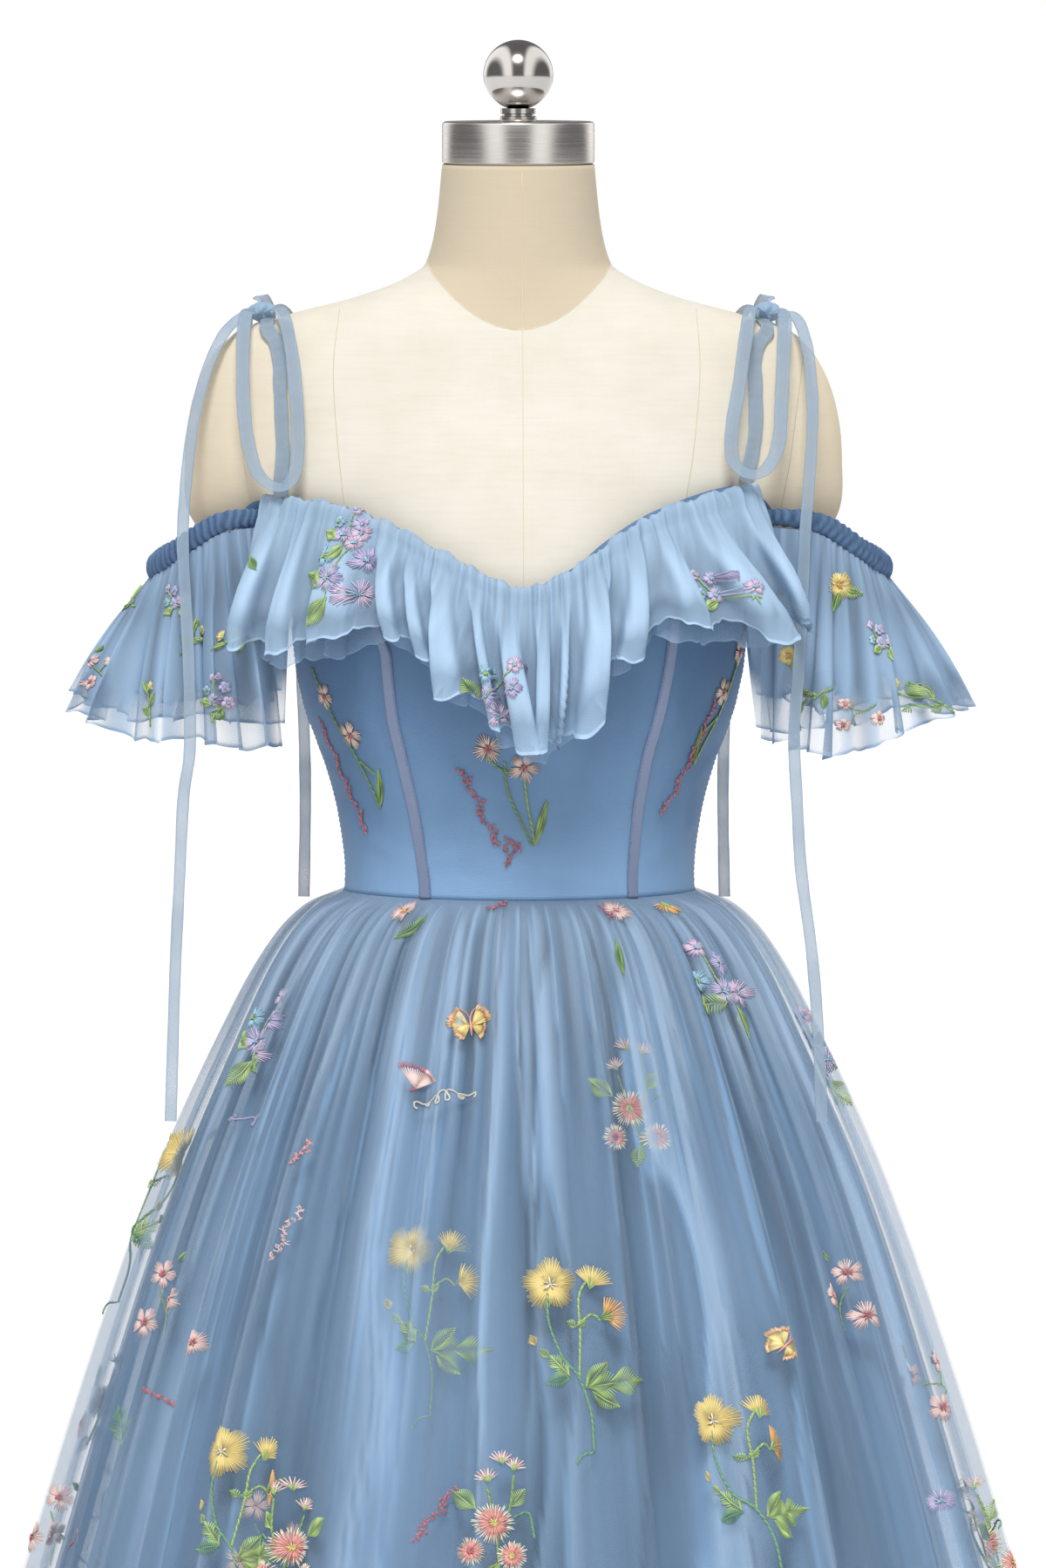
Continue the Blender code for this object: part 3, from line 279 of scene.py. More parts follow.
# Camera, set from the photograph
PHOTO_SIZE = (1200, 1799)
CAMERA_PLACE = Vector((0.0022, -7.0, 1.640))
CAMERA_AIM = Vector((0.0022, 0.0, 1.0974))
CAMERA_LENS = 254.7
CAMERA_SENSOR = 36.0

# One broad soft light high in front, and a weak one behind for the back: name, azimuth, elevation,
# strength and spread
LAMP_ROWS = (
    ("key", -3.0, 57.0, 3.25, 22.0),
    ("rear", 178.0, 38.0, 0.50, 40.0),
)
SKY_STRENGTH = 0.27
FLOOR_RADIUS = 24.0
DOME_RADIUS = 23.5
WALLS_RADIUS = 22.5


def smooth_curve(columns, rows, key, value):
    """A function of the key column through a table's values, smooth and with no overshoot."""
    places = np.array([row[columns.index(key)] for row in rows])
    values = np.array([row[columns.index(value)] for row in rows])
    steps = np.diff(values) / np.diff(places)
    slopes = np.empty(len(values))
    slopes[0], slopes[-1] = steps[0], steps[-1]
    for index in range(1, len(values) - 1):
        before, after = steps[index - 1], steps[index]
        slopes[index] = 2.0 * before * after / (before + after) if before * after > 0.0 else 0.0

    def at(where):
        where = np.clip(np.asarray(where, float), places[0], places[-1])
        index = np.clip(np.searchsorted(places, where, side="left") - 1, 0, len(places) - 2)
        span = places[index + 1] - places[index]
        t = (where - places[index]) / span
        return (values[index] * (2 * t**3 - 3 * t**2 + 1) + values[index + 1] * (3 * t**2 - 2 * t**3)
                + slopes[index] * span * (t**3 - 2 * t**2 + t) + slopes[index + 1] * span * (t**3 - t**2))

    return at


def all_curves(columns, rows):
    """A smooth curve for each column after the first, by name."""
    return {name: smooth_curve(columns, rows, columns[0], name) for name in columns[1:]}


TORSO = all_curves(TORSO_COLUMNS, TORSO_ROWS)
NECKLINE = all_curves(NECKLINE_COLUMNS, NECKLINE_ROWS)["height"]
RUFFLE_FALL = all_curves(RUFFLE_FALL_COLUMNS, RUFFLE_FALL_ROWS)["fall"]
TOP_EDGE = all_curves(TOP_EDGE_COLUMNS, TOP_EDGE_ROWS)["height"]
BONED_SEAM = all_curves(BONED_SEAM_COLUMNS, BONED_SEAM_ROWS)
RUFFLE = all_curves(RUFFLE_COLUMNS, RUFFLE_ROWS)
SKIRT = all_curves(SKIRT_COLUMNS, SKIRT_ROWS)


def smooth_step(low, high, value):
    """0 below low, 1 above high, and an even rise between."""
    t = np.clip((np.asarray(value, float) - low) / (high - low), 0.0, 1.0)
    return t * t * (3.0 - 2.0 * t)


def wobble(x, seed):
    """An uneven smooth wave between about -1 and 1."""
    x = np.asarray(x, float)
    return (0.5 * np.sin(x + 1.7 * seed) + 0.3 * np.sin(2.3 * x + 4.1 * seed)
            + 0.2 * np.sin(5.1 * x + 2.9 * seed))


def unit(vectors):
    """Vectors scaled to length one."""
    return vectors / np.maximum(np.linalg.norm(vectors, axis=-1, keepdims=True), 1e-12)


def spline(points, count):
    """Evenly indexed points on a smooth curve through a route's own points."""
    points = np.asarray(points, float)
    last = len(points) - 1
    padded = np.vstack([2 * points[0] - points[1], points, 2 * points[-1] - points[-2]])
    place = np.linspace(0.0, last, count)
    index = np.minimum(place.astype(int), last - 1)
    t = (place - index)[:, None]
    p0, p1, p2, p3 = (padded[index + k] for k in range(4))
    return 0.5 * (2 * p1 + (p2 - p0) * t + (2 * p0 - 5 * p1 + 4 * p2 - p3) * t**2
                  + (3 * p1 - p0 - 3 * p2 + p3) * t**3)


def ease_at(height):
    """How far the bodice stands off the form, a little more over the chest."""
    return EASE + CHEST_EASE * smooth_step(0.176, 0.210, height)


def torso_base(angle, height):
    """Points on the dress form's surface; the angles are in radians."""
    angle, height = np.broadcast_arrays(np.asarray(angle, float), np.asarray(height, float))
    sine, cosine = np.sin(angle), np.cos(angle)
    depth = np.where(cosine > 0.0, TORSO["front"](height), TORSO["back"](height))
    arm = TORSO["arm"](height) * np.abs(sine) ** TORSO["arm_power"](height)
    x = TORSO["shift"](height) + TORSO["half_width"](height) * sine + np.sign(sine) * arm
    return np.stack([x, -depth * cosine, WAIST_HEIGHT + height], axis=-1)


def torso_normal(angle, height):
    """The dress form's outward direction."""
    around = torso_base(np.asarray(angle) + 0.01, height) - torso_base(np.asarray(angle) - 0.01, height)
    upward = torso_base(angle, np.asarray(height) + 0.001) - torso_base(angle, np.asarray(height) - 0.001)
    return unit(np.cross(around, upward))


def torso_point(angle, height, lift):
    """Points at a distance from the dress form, along its own normal."""
    return torso_base(angle, height) + torso_normal(angle, height) * np.asarray(lift)[..., None]


def fold_wave(place, count):
    """Fold number, phase and height from -1 to 1 at places from 0 to count over uneven folds."""
    edges = np.array([0.0] + [k + 0.20 * math.sin(2.4 * k) for k in range(1, count)] + [float(count)])
    place = np.clip(place, 0.0, count - 1e-9)
    index = np.clip(np.searchsorted(edges, place, side="right") - 1, 0, count - 1)
    phase = (place - edges[index]) / (edges[index + 1] - edges[index])
    crest = 0.70 + 0.30 * np.cos(1.9 * index)
    wave = -1.0 + (1.0 + crest) * 0.5 * (1.0 - np.cos(2.0 * np.pi * phase))
    return index, phase, wave


# Meshes


def link(name, mesh, paints):
    """A named object in the scene, wearing its materials."""
    for paint in paints:
        mesh.materials.append(paint)
    piece = bpy.data.objects.new(name, mesh)
    bpy.context.scene.collection.objects.link(piece)
    return piece


def belongs(piece, nodes, body=BODY):
    """The piece rides on a body and stands for its solids, which are hidden."""
    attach(piece, body)
    if nodes:
        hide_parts(*nodes)
    return piece


def arc(points):
    """Length of each row of a grid of points."""
    return np.linalg.norm(np.diff(points, axis=1), axis=-1).sum(axis=1)


def grid_piece(name, points, paint, wall=0.0, side=-1.0, around=False, cover=None, tone=None):
    """A sheet from a grid of points (row, column, xyz), with a UV map in metres along the cloth."""
    rows, columns = points.shape[:2]
    index = np.arange(rows * columns).reshape(rows, columns)
    if around:
        index = np.hstack([index, index[:, :1]])
    faces = np.stack([index[:-1, :-1], index[1:, :-1], index[1:, 1:], index[:-1, 1:]], axis=-1).reshape(-1, 4)
    mesh = bpy.data.meshes.new(name)
    mesh.from_pydata(points.reshape(-1, 3).tolist(), [], faces.tolist())
    width = arc(points).max()
    length = arc(points.transpose(1, 0, 2)).mean()
    across = index.shape[1]
    u = np.tile(np.linspace(0.0, width, across), (rows, 1))
    v = np.tile(np.linspace(length, 0.0, rows)[:, None], (1, across))
    corner = np.stack([u, v], axis=-1)
    loops = np.stack([corner[:-1, :-1], corner[1:, :-1], corner[1:, 1:], corner[:-1, 1:]], axis=2)
    layer = mesh.uv_layers.new(name="cloth")
    layer.data.foreach_set("uv", loops.reshape(-1).astype(np.float32))
    # cover sets how dense a sheer cloth is; tone shifts its colour, on most sheets as painted shade and
    # painted light of their folds and gathers.
    for label, values in (("cover", cover), ("tone", tone)):
        if values is not None:
            painted = mesh.attributes.new(label, "FLOAT", "POINT")
            values = np.ascontiguousarray(np.broadcast_to(values, (rows, columns)), dtype=np.float32)
            painted.data.foreach_set("value", values.reshape(-1))
    mesh.shade_smooth()
    piece = link(name, mesh, [paint])
    if wall:
        thick = piece.modifiers.new("wall", "SOLIDIFY")
        thick.thickness = wall
        thick.offset = side
    piece["flat_width"], piece["flat_length"] = width, length
    here, below, beside = points[:-1, :-1], points[1:, :-1], points[:-1, 1:]
    area = np.linalg.norm(np.cross(below - here, beside - here), axis=-1)
    piece["flat_share"] = float(area.sum() / (width * length))
    return piece


def tube_mesh(path, radii, sides):
    """Vertices and faces of a closed tube along a path, tapering as its radii say."""
    path = np.asarray(path, float)
    count = len(path)
    radii = np.broadcast_to(np.asarray(radii, float), (count,))
    tangent = unit(np.gradient(path, axis=0))
    helper = np.array([0.0, 0.0, 1.0]) if abs(tangent[0][2]) < 0.9 else np.array([1.0, 0.0, 0.0])
    across = unit(np.cross(tangent, helper))
    other = np.cross(tangent, across)
    turn = 2.0 * np.pi * np.arange(sides) / sides
    ring = (across[:, None, :] * np.cos(turn)[None, :, None]
            + other[:, None, :] * np.sin(turn)[None, :, None])
    points = (path[:, None, :] + ring * radii[:, None, None]).reshape(-1, 3).tolist()
    faces = []
    for r in range(count - 1):
        for s in range(sides):
            t = (s + 1) % sides
            faces.append((r * sides + s, r * sides + t, (r + 1) * sides + t, (r + 1) * sides + s))
    faces.append(tuple(range(sides - 1, -1, -1)))
    faces.append(tuple(range((count - 1) * sides, count * sides)))
    return points, faces


def joined(name, parts, paints):
    """One object from many (points, faces, material number) parts, each with a tone of its own."""
    points, faces, numbers, tones = [], [], [], []
    for part_points, part_faces, number in parts:
        base = len(points)
        points.extend(part_points)
        faces.extend(tuple(corner + base for corner in face) for face in part_faces)
        numbers.extend([number] * len(part_faces))
        tones.extend([math.sin(12.9898 * len(numbers) + 4.1) * 0.5 + 0.5] * len(part_points))
    mesh = bpy.data.meshes.new(name)
    mesh.from_pydata(points, [], faces)
    mesh.polygons.foreach_set("material_index", numbers)
    mesh.attributes.new("tone", "FLOAT", "POINT").data.foreach_set("value", tones)
    mesh.shade_smooth()
    return link(name, mesh, paints)


def lathe(name, profile, sides, paint, centre=(0.0, 0.0)):
    """A turned solid from (radius, height) pairs, closed at both ends."""
    turn = 2.0 * np.pi * np.arange(sides) / sides
    points, faces = [], []
    for radius, height in profile:
        for angle in turn:
            x, y = centre[0] + radius * math.cos(angle), centre[1] + radius * math.sin(angle)
            points.append((x, y, height))
    for r in range(len(profile) - 1):
        for s in range(sides):
            t = (s + 1) % sides
            faces.append((r * sides + s, r * sides + t, (r + 1) * sides + t, (r + 1) * sides + s))
    faces.append(tuple(range(sides - 1, -1, -1)))
    faces.append(tuple(range((len(profile) - 1) * sides, len(profile) * sides)))
    mesh = bpy.data.meshes.new(name)
    mesh.from_pydata(points, [], faces)
    mesh.shade_smooth()
    mesh.set_sharp_from_angle(angle=math.radians(40.0))
    return link(name, mesh, [paint])


# Materials


class Paint:
    """A Principled material and short calls for the nodes that feed it."""

    def __init__(self, name, roughness, metallic=0.0):
        self.material = bpy.data.materials.new(name)
        self.material.use_nodes = True
        self.tree = self.material.node_tree
        self.shader = self.tree.nodes["Principled BSDF"]
        self.shader.inputs["Roughness"].default_value = roughness
        self.shader.inputs["Metallic"].default_value = metallic

    def node(self, kind, inputs=(), **settings):
        node = self.tree.nodes.new(kind)
        for key, value in settings.items():
            setattr(node, key, value)
        for key, value in dict(inputs).items():
            if isinstance(value, bpy.types.NodeSocket):
                self.tree.links.new(value, node.inputs[key])
            else:
                node.inputs[key].default_value = value
        return node

    def feed(self, socket, value):
        self.tree.links.new(value, self.shader.inputs[socket])

    def coordinates(self, scale=(1.0, 1.0, 1.0), cloth=True, turn=0.0):
        source = self.node("ShaderNodeTexCoord").outputs["UV" if cloth else "Object"]
        inputs = {"Vector": source, "Scale": scale, "Rotation": (0.0, 0.0, turn)}
        return self.node("ShaderNodeMapping", inputs).outputs["Vector"]

    def noise(self, vector, scale, detail=2.0, roughness=0.5):
        node = self.node("ShaderNodeTexNoise", {"Vector": vector, "Scale": scale, "Detail": detail,
                                                "Roughness": roughness})
        return node.outputs["Fac"]

    def threads(self, vector, period, direction="X"):
        """Evenly spaced threads, from 0 to 1, a period apart in metres."""
        node = self.node("ShaderNodeTexWave", {"Vector": vector, "Scale": math.pi / 10.0 / period,
                                               "Distortion": 0.6, "Detail": 1.0, "Detail Scale": 3.0},
                         wave_type="BANDS", bands_direction=direction)
        return node.outputs["Fac"]

    def math(self, operation, first, second):
        return self.node("ShaderNodeMath", {0: first, 1: second}, operation=operation).outputs[0]

    def ramp(self, value, low, high, to_low=0.0, to_high=1.0):
        node = self.node("ShaderNodeMapRange", {"Value": value, "From Min": low, "From Max": high,
                                                "To Min": to_low, "To Max": to_high})
        return node.outputs["Result"]

    def mix(self, factor, first, second):
        node = self.node("ShaderNodeMix", data_type="RGBA")
        for socket, value in ((node.inputs[0], factor), (node.inputs[6], first), (node.inputs[7], second)):
            if isinstance(value, bpy.types.NodeSocket):
                self.tree.links.new(value, socket)
            else:
                socket.default_value = value if isinstance(value, float) else (*value, 1.0)
        return node.outputs[2]

    def bump(self, height, strength, distance):
        node = self.node("ShaderNodeBump", {"Height": height, "Strength": strength, "Distance": distance})
        self.feed("Normal", node.outputs["Normal"])

    def sheen(self, weight, roughness, tint):
        self.shader.inputs["Sheen Weight"].default_value = weight
        self.shader.inputs["Sheen Roughness"].default_value = roughness
        self.shader.inputs["Sheen Tint"].default_value = (*tint, 1.0)


def shade(colour, factor):
    """A colour made lighter or darker."""
    return tuple(min(part * factor, 1.0) for part in colour)


def tulle(name, colour, opacity, cover_swing, period=0.0013, streak=0.10):
    """Fine sheer net: crossed threads, denser where the cloth folds, thinner towards its hem, with painted
    shade and painted light from its tone attribute.
    """
    paint = Paint(name, 0.85)
    streaks = paint.noise(paint.coordinates((60.0, 3.0, 1.0)), 1.0, 2.0, 0.6)
    # The tone attribute paints shade and light into the net, mixing a shaded copy and a lit copy of its
    # colour; the streaks add a random darker tone.
    tone = paint.node("ShaderNodeAttribute", attribute_name="tone").outputs["Fac"]
    plain = paint.mix(paint.ramp(tone, -1.0, 1.0), shade(colour, 0.48), shade(colour, 1.52))
    deep = paint.mix(paint.ramp(streaks, 0.3, 0.7, 0.0, streak * 2.0), plain, shade(colour, 0.78))
    paint.feed("Base Color", deep)
    one = paint.threads(paint.coordinates(turn=math.radians(60.0)), period)
    two = paint.threads(paint.coordinates(turn=math.radians(-60.0)), period)
    net = paint.math("MAXIMUM", one, two)
    cover = paint.node("ShaderNodeAttribute", attribute_name="cover").outputs["Fac"]
    fine = paint.ramp(net, 0.0, 1.0, 0.91, 1.06)
    patchy = paint.ramp(streaks, 0.25, 0.75, 1.0 - streak, 1.0 + streak)
    folded = paint.ramp(cover, 0.0, 1.0, 1.0 - cover_swing, 1.0 + cover_swing)
    alpha = paint.math("MULTIPLY", paint.math("MULTIPLY", fine, patchy),
                       paint.math("MULTIPLY", folded, opacity))
    paint.feed("Alpha", paint.math("MINIMUM", alpha, 1.0))
    paint.bump(net, 0.25, 0.0003)
    paint.sheen(0.25, 0.45, shade(colour, 1.7))
    return paint.material


def woven(name, colour, period, strength, roughness=0.8, sheen=0.2, creases=0.5):
    """Opaque plain-woven cloth with a slightly uneven dye, painted shade and painted light from its tone
    attribute, and fine cross threads.
    """
    paint = Paint(name, roughness)
    plain = paint.coordinates()
    warp, weft = paint.threads(plain, period, "X"), paint.threads(plain, period, "Y")
    weave = paint.math("MULTIPLY", warp, weft)
    cloud = paint.noise(plain, 14.0, 4.0)
    drag = paint.noise(paint.coordinates((6.0, 60.0, 1.0)), 1.0, 3.0)
    # The tone attribute carries painted shade and painted light on the bodice, lining and band, and a random
    # tone on stitches; it is spread between a darker deep copy of the colour and a lighter copy, as shaded
    # and lit cloth.
    painted_shade_and_tone = paint.node("ShaderNodeAttribute", attribute_name="tone").outputs["Fac"]
    uneven = paint.math("ADD", painted_shade_and_tone, paint.ramp(cloud, 0.3, 0.7, -0.12, 0.12))
    deep = tuple(part * share for part, share in zip(colour, (0.28, 0.38, 0.46)))
    tone = paint.mix(paint.ramp(uneven, -1.0, 1.0), deep, shade(colour, 1.62))
    paint.feed("Base Color", paint.mix(paint.ramp(weave, 0.0, 1.0, 0.0, 0.16), tone, shade(colour, 1.25)))
    paint.bump(paint.math("ADD", weave, paint.math("MULTIPLY", drag, creases)), strength, 0.0004)
    paint.feed("Roughness", paint.ramp(cloud, 0.3, 0.7, roughness - 0.06, roughness + 0.06))
    paint.sheen(sheen, 0.4, shade(colour, 1.8))
    return paint.material


def satin(name, colour):
    """Smooth satin with fine lengthwise threads and a soft gloss."""
    paint = Paint(name, 0.42)
    lengthwise = paint.threads(paint.coordinates(), 0.0007, "X")
    cloud = paint.noise(paint.coordinates((30.0, 8.0, 1.0)), 1.0, 3.0)
    paint.feed("Base Color", paint.mix(paint.ramp(cloud, 0.3, 0.7), shade(colour, 0.85), shade(colour, 1.15)))
    paint.feed("Roughness", paint.ramp(lengthwise, 0.0, 1.0, 0.36, 0.50))
    paint.bump(paint.math("ADD", lengthwise, cloud), 0.2, 0.0003)
    paint.sheen(0.3, 0.35, shade(colour, 1.6))
    return paint.material


def linen(name, colour, neck_colour):
    """Natural linen drawn tight, a warmer piece round the neck above its tilted seam, and painted shade on
    the form's sides in a yellower, darker linen colour.
    """
    paint = Paint(name, 0.88)
    place = paint.node("ShaderNodeTexCoord").outputs["Object"]
    parts = paint.node("ShaderNodeSeparateXYZ", {"Vector": place})
    squared = paint.math("MULTIPLY", parts.outputs["X"], parts.outputs["X"])
    bowl = paint.math("MULTIPLY", squared, NECK_SEAM_BOWL)
    behind = paint.ramp(parts.outputs["Y"], *NECK_SEAM_TURN)
    front = paint.math("MULTIPLY", bowl, paint.math("SUBTRACT", 1.0, behind))
    rise = paint.math("ADD", front, paint.math("MULTIPLY", behind, NECK_SEAM_BACK))
    seam = paint.math("SUBTRACT", parts.outputs["Z"], rise)
    above = paint.ramp(seam, NECK_SEAM_LOW - 0.0006, NECK_SEAM_LOW + 0.0006)
    # Painted shade: towards the form's sides the linen turns to a yellower, darker colour, standing for the
    # shade on its flanks.
    side = paint.ramp(paint.math("ABSOLUTE", parts.outputs["X"], 0.0), 0.11, 0.20)
    cloud = paint.noise(place, 22.0, 4.0)
    body = paint.mix(side, colour, shade(neck_colour, 1.22))
    base = paint.mix(above, body, neck_colour)
    worn = paint.mix(paint.ramp(cloud, 0.35, 0.65, 0.0, 0.16), base, shade(neck_colour, 0.86))
    warp = paint.threads(place, 0.0009, "X")
    weft = paint.threads(place, 0.0009, "Z")
    weave = paint.math("MULTIPLY", warp, weft)
    slub = paint.noise(paint.coordinates((40.0, 40.0, 420.0), cloth=False), 1.0, 2.0)
    paint.feed("Base Color", paint.mix(paint.ramp(slub, 0.4, 0.75, 0.0, 0.10), worn, shade(neck_colour, 0.8)))
    paint.bump(paint.math("ADD", weave, slub), 0.2, 0.0003)
    paint.sheen(0.12, 0.5, (1.0, 0.97, 0.9))
    return paint.material


def steel(name, colour, roughness, streak):
    """Turned and brushed steel with fine rings round its axis."""
    paint = Paint(name, roughness, 1.0)
    rings = paint.noise(paint.coordinates((6.0, 6.0, streak), cloth=False), 1.0, 4.0, 0.65)
    smear = paint.noise(paint.coordinates((14.0, 14.0, 14.0), cloth=False), 1.0, 3.0)
    smeared = paint.mix(paint.ramp(smear, 0.35, 0.65), shade(colour, 0.9), shade(colour, 1.08))
    paint.feed("Base Color", smeared)
    paint.feed("Roughness", paint.ramp(rings, 0.3, 0.7, roughness * 0.8, roughness * 1.3))
    paint.bump(rings, 0.08, 0.0003)
    return paint.material


def thread(name, colour):
    """Twisted embroidery floss: a soft gloss and fine turns of its strands."""
    paint = Paint(name, 0.55)
    turns = paint.threads(paint.coordinates(cloth=False, turn=0.6), 0.0007, "Z")
    strand = paint.node("ShaderNodeAttribute", attribute_name="tone").outputs["Fac"]
    tone = paint.mix(strand, shade(colour, 0.66), shade(colour, 1.20))
    paint.feed("Base Color", paint.mix(paint.ramp(turns, 0.0, 1.0, 0.0, 0.25), tone, shade(colour, 1.3)))
    paint.bump(turns, 0.25, 0.0003)
    paint.sheen(0.3, 0.3, shade(colour, 1.3))
    return paint.material


DUSTY_BLUE = (0.250, 0.410, 0.650)
SHEER_BLUE = (0.340, 0.440, 0.560)
NET_BLUE = (0.175, 0.300, 0.460)
LINING_BLUE = (0.115, 0.215, 0.365)
BAND_BLUE = (0.075, 0.135, 0.240)
CHANNEL_BLUE = (0.200, 0.250, 0.385)
PAINTS = {
    "linen": linen("form_linen_cloth", (0.72, 0.685, 0.600), (0.60, 0.510, 0.375)),
    "seam": woven("form_seam_thread", (0.50, 0.43, 0.31), 0.0008, 0.2),
    "polished": steel("steel_polished", (0.56, 0.54, 0.52), 0.14, 60.0),
    "brushed": steel("steel_brushed", (0.60, 0.58, 0.56), 0.26, 900.0),
    "bodice": woven("bodice_cloth", DUSTY_BLUE, 0.0010, 0.35, 0.66, 0.06, 1.2),
    "channel": satin("channel_satin", CHANNEL_BLUE),
    "ruffle": tulle("ruffle_tulle", (0.345, 0.480, 0.635), 0.74, 0.34, streak=0.05),
    "ruffle_under": tulle("ruffle_under_tulle", (0.260, 0.390, 0.560), 0.66, 0.30, streak=0.05),
    "sleeve": tulle("sleeve_tulle", (0.255, 0.370, 0.520), 0.70, 0.60, streak=0.10),
    "skirt_sheer": tulle("skirt_sheer_tulle", SHEER_BLUE, 0.25, 0.66, streak=0.10),
    "skirt_net": tulle("skirt_net_tulle", NET_BLUE, 0.62, 0.30, streak=0.10),
    "lining": woven("lining_cloth", LINING_BLUE, 0.0008, 0.2, 0.7, 0.08, 0.6),
    "band": woven("band_cloth", BAND_BLUE, 0.0010, 0.5, 0.8, 0.3, 1.5),
    "ribbon": tulle("ribbon_tulle", (0.330, 0.430, 0.540), 0.60, 0.32, 0.0010),
    "knot": tulle("knot_tulle", (0.290, 0.415, 0.560), 0.94, 0.05, 0.0010),
    "stitch": woven("stitch_thread", (0.055, 0.085, 0.170), 0.0006, 0.3),
    "zip": satin("zip_tape", (0.12, 0.20, 0.34)),
    "zip_metal": steel("zip_enamel", (0.20, 0.30, 0.46), 0.35, 300.0),
}
FLOSS = {
    "peach": (0.86, 0.63, 0.53), "blush": (0.82, 0.60, 0.56), "rose": (0.56, 0.19, 0.22),
    "pink": (0.83, 0.38, 0.34), "lilac": (0.56, 0.50, 0.72), "sky": (0.38, 0.60, 0.72),
    "leaf": (0.27, 0.42, 0.15), "lime": (0.40, 0.55, 0.21), "yellow": (0.80, 0.64, 0.26),
    "orange": (0.80, 0.46, 0.18), "cream": (0.84, 0.76, 0.62), "sage": (0.20, 0.40, 0.22),
    "mauve": (0.68, 0.54, 0.70),
}
FLOSS_NAMES = tuple(FLOSS)
FLOSS_PAINTS = [thread("floss_" + name, colour) for name, colour in FLOSS.items()]


# Camera, light and stage


def build_stage():
    """A pale floor under a plain white dome that only the camera sees."""
    sky = bpy.context.scene.world or bpy.data.worlds.new("studio")
    bpy.context.scene.world = sky
    sky.use_nodes = True
    background = sky.node_tree.nodes["Background"]
    background.inputs["Color"].default_value = (0.96, 0.98, 1.0, 1.0)
    background.inputs["Strength"].default_value = SKY_STRENGTH
    bpy.context.scene.view_settings.view_transform = "Standard"

    bpy.ops.mesh.primitive_circle_add(vertices=96, radius=FLOOR_RADIUS, fill_type="NGON")
    floor = bpy.context.object
    floor.name = "studio_floor"
    paint = Paint("pale_floor", 0.9)
    speck = paint.noise(paint.coordinates(cloth=False), 3.0, 3.0)
    paint.feed("Base Color", paint.mix(paint.ramp(speck, 0.3, 0.7), (0.90, 0.90, 0.90), (0.93, 0.93, 0.93)))
    floor.data.materials.append(paint.material)

    bpy.ops.mesh.primitive_uv_sphere_add(segments=48, ring_count=24, radius=DOME_RADIUS)
    dome = bpy.context.object
    dome.name = "studio_dome"
    glow = Paint("dome_glow", 1.0)
    glow.shader.inputs["Base Color"].default_value = (0.0, 0.0, 0.0, 1.0)
    glow.shader.inputs["Emission Color"].default_value = (1.0, 1.0, 1.0, 1.0)
    glow.shader.inputs["Emission Strength"].default_value = 1.0
    dome.data.materials.append(glow.material)
    dome.visible_glossy = False

    bpy.ops.mesh.primitive_uv_sphere_add(segments=48, ring_count=24, radius=WALLS_RADIUS)
    walls = bpy.context.object
    walls.name = "studio_walls"
    panels = Paint("wall_panels", 1.0)
    panels.shader.inputs["Base Color"].default_value = (0.0, 0.0, 0.0, 1.0)
    panels.shader.inputs["Emission Color"].default_value = (1.0, 0.98, 0.96, 1.0)
    inside = panels.node("ShaderNodeTexCoord").outputs["Object"]
    place = panels.node("ShaderNodeSeparateXYZ", {"Vector": inside})
    aside = panels.math("ABSOLUTE", place.outputs["X"], 0.0)
    lit = panels.math("MULTIPLY", panels.ramp(aside, 6.0, 9.0), panels.ramp(aside, 19.0, 15.0))
    high = panels.math("MULTIPLY", lit, panels.ramp(place.outputs["Z"], -6.0, 2.0))
    panels.feed("Emission Strength", panels.ramp(high, 0.0, 1.0, 0.16, 1.35))
    walls.data.materials.append(panels.material)
    walls.visible_camera = False
    for shell in (dome, walls):
        shell.visible_diffuse = False
        shell.visible_shadow = False
        shell.visible_transmission = False
        shell.data.materials[0].cycles.emission_sampling = "NONE"

    for name, azimuth, elevation, strength, spread in LAMP_ROWS:
        lamp = bpy.data.lights.new(name, "SUN")
        lamp.energy = strength
        lamp.angle = math.radians(spread)
        holder = bpy.data.objects.new(name, lamp)
        turn, lift = math.radians(azimuth), math.radians(elevation)
        way = Vector((math.sin(turn) * math.cos(lift), -math.cos(turn) * math.cos(lift), math.sin(lift)))
        holder.rotation_euler = way.to_track_quat("Z", "Y").to_euler()
        bpy.context.scene.collection.objects.link(holder)


def build_camera():
    """The photograph's own viewpoint."""
    data = bpy.data.cameras.new("camera")
    data.lens = CAMERA_LENS
    data.sensor_width = CAMERA_SENSOR
    data.clip_end = 60.0
    camera = bpy.data.objects.new("camera", data)
    camera.location = CAMERA_PLACE
    camera.rotation_euler = (CAMERA_AIM - CAMERA_PLACE).to_track_quat("-Z", "Y").to_euler()
    bpy.context.scene.collection.objects.link(camera)
    bpy.context.scene.camera = camera


def pixel_ray(x, y):
    """The direction from the camera through a pixel of the photograph."""
    forward = (CAMERA_AIM - CAMERA_PLACE).normalized()
    right = forward.cross(Vector((0.0, 0.0, 1.0))).normalized()
    up = right.cross(forward)
    scale = CAMERA_SENSOR / CAMERA_LENS / PHOTO_SIZE[1]
    across, down = right * (x - PHOTO_SIZE[0] / 2) * scale, up * (y - PHOTO_SIZE[1] / 2) * scale
    return (forward + across - down).normalized()


# Dress form and stand


def torso_angle(x, height, back=False):
    """The angle at which the form's surface has an x, on its front or its back."""
    low, high = -math.pi / 2.0, math.pi / 2.0
    for _ in range(BISECTIONS):
        middle = (low + high) / 2.0
        if torso_base(middle, height)[0] < x:
            low = middle
        else:
            high = middle
    return math.pi - low if back else low


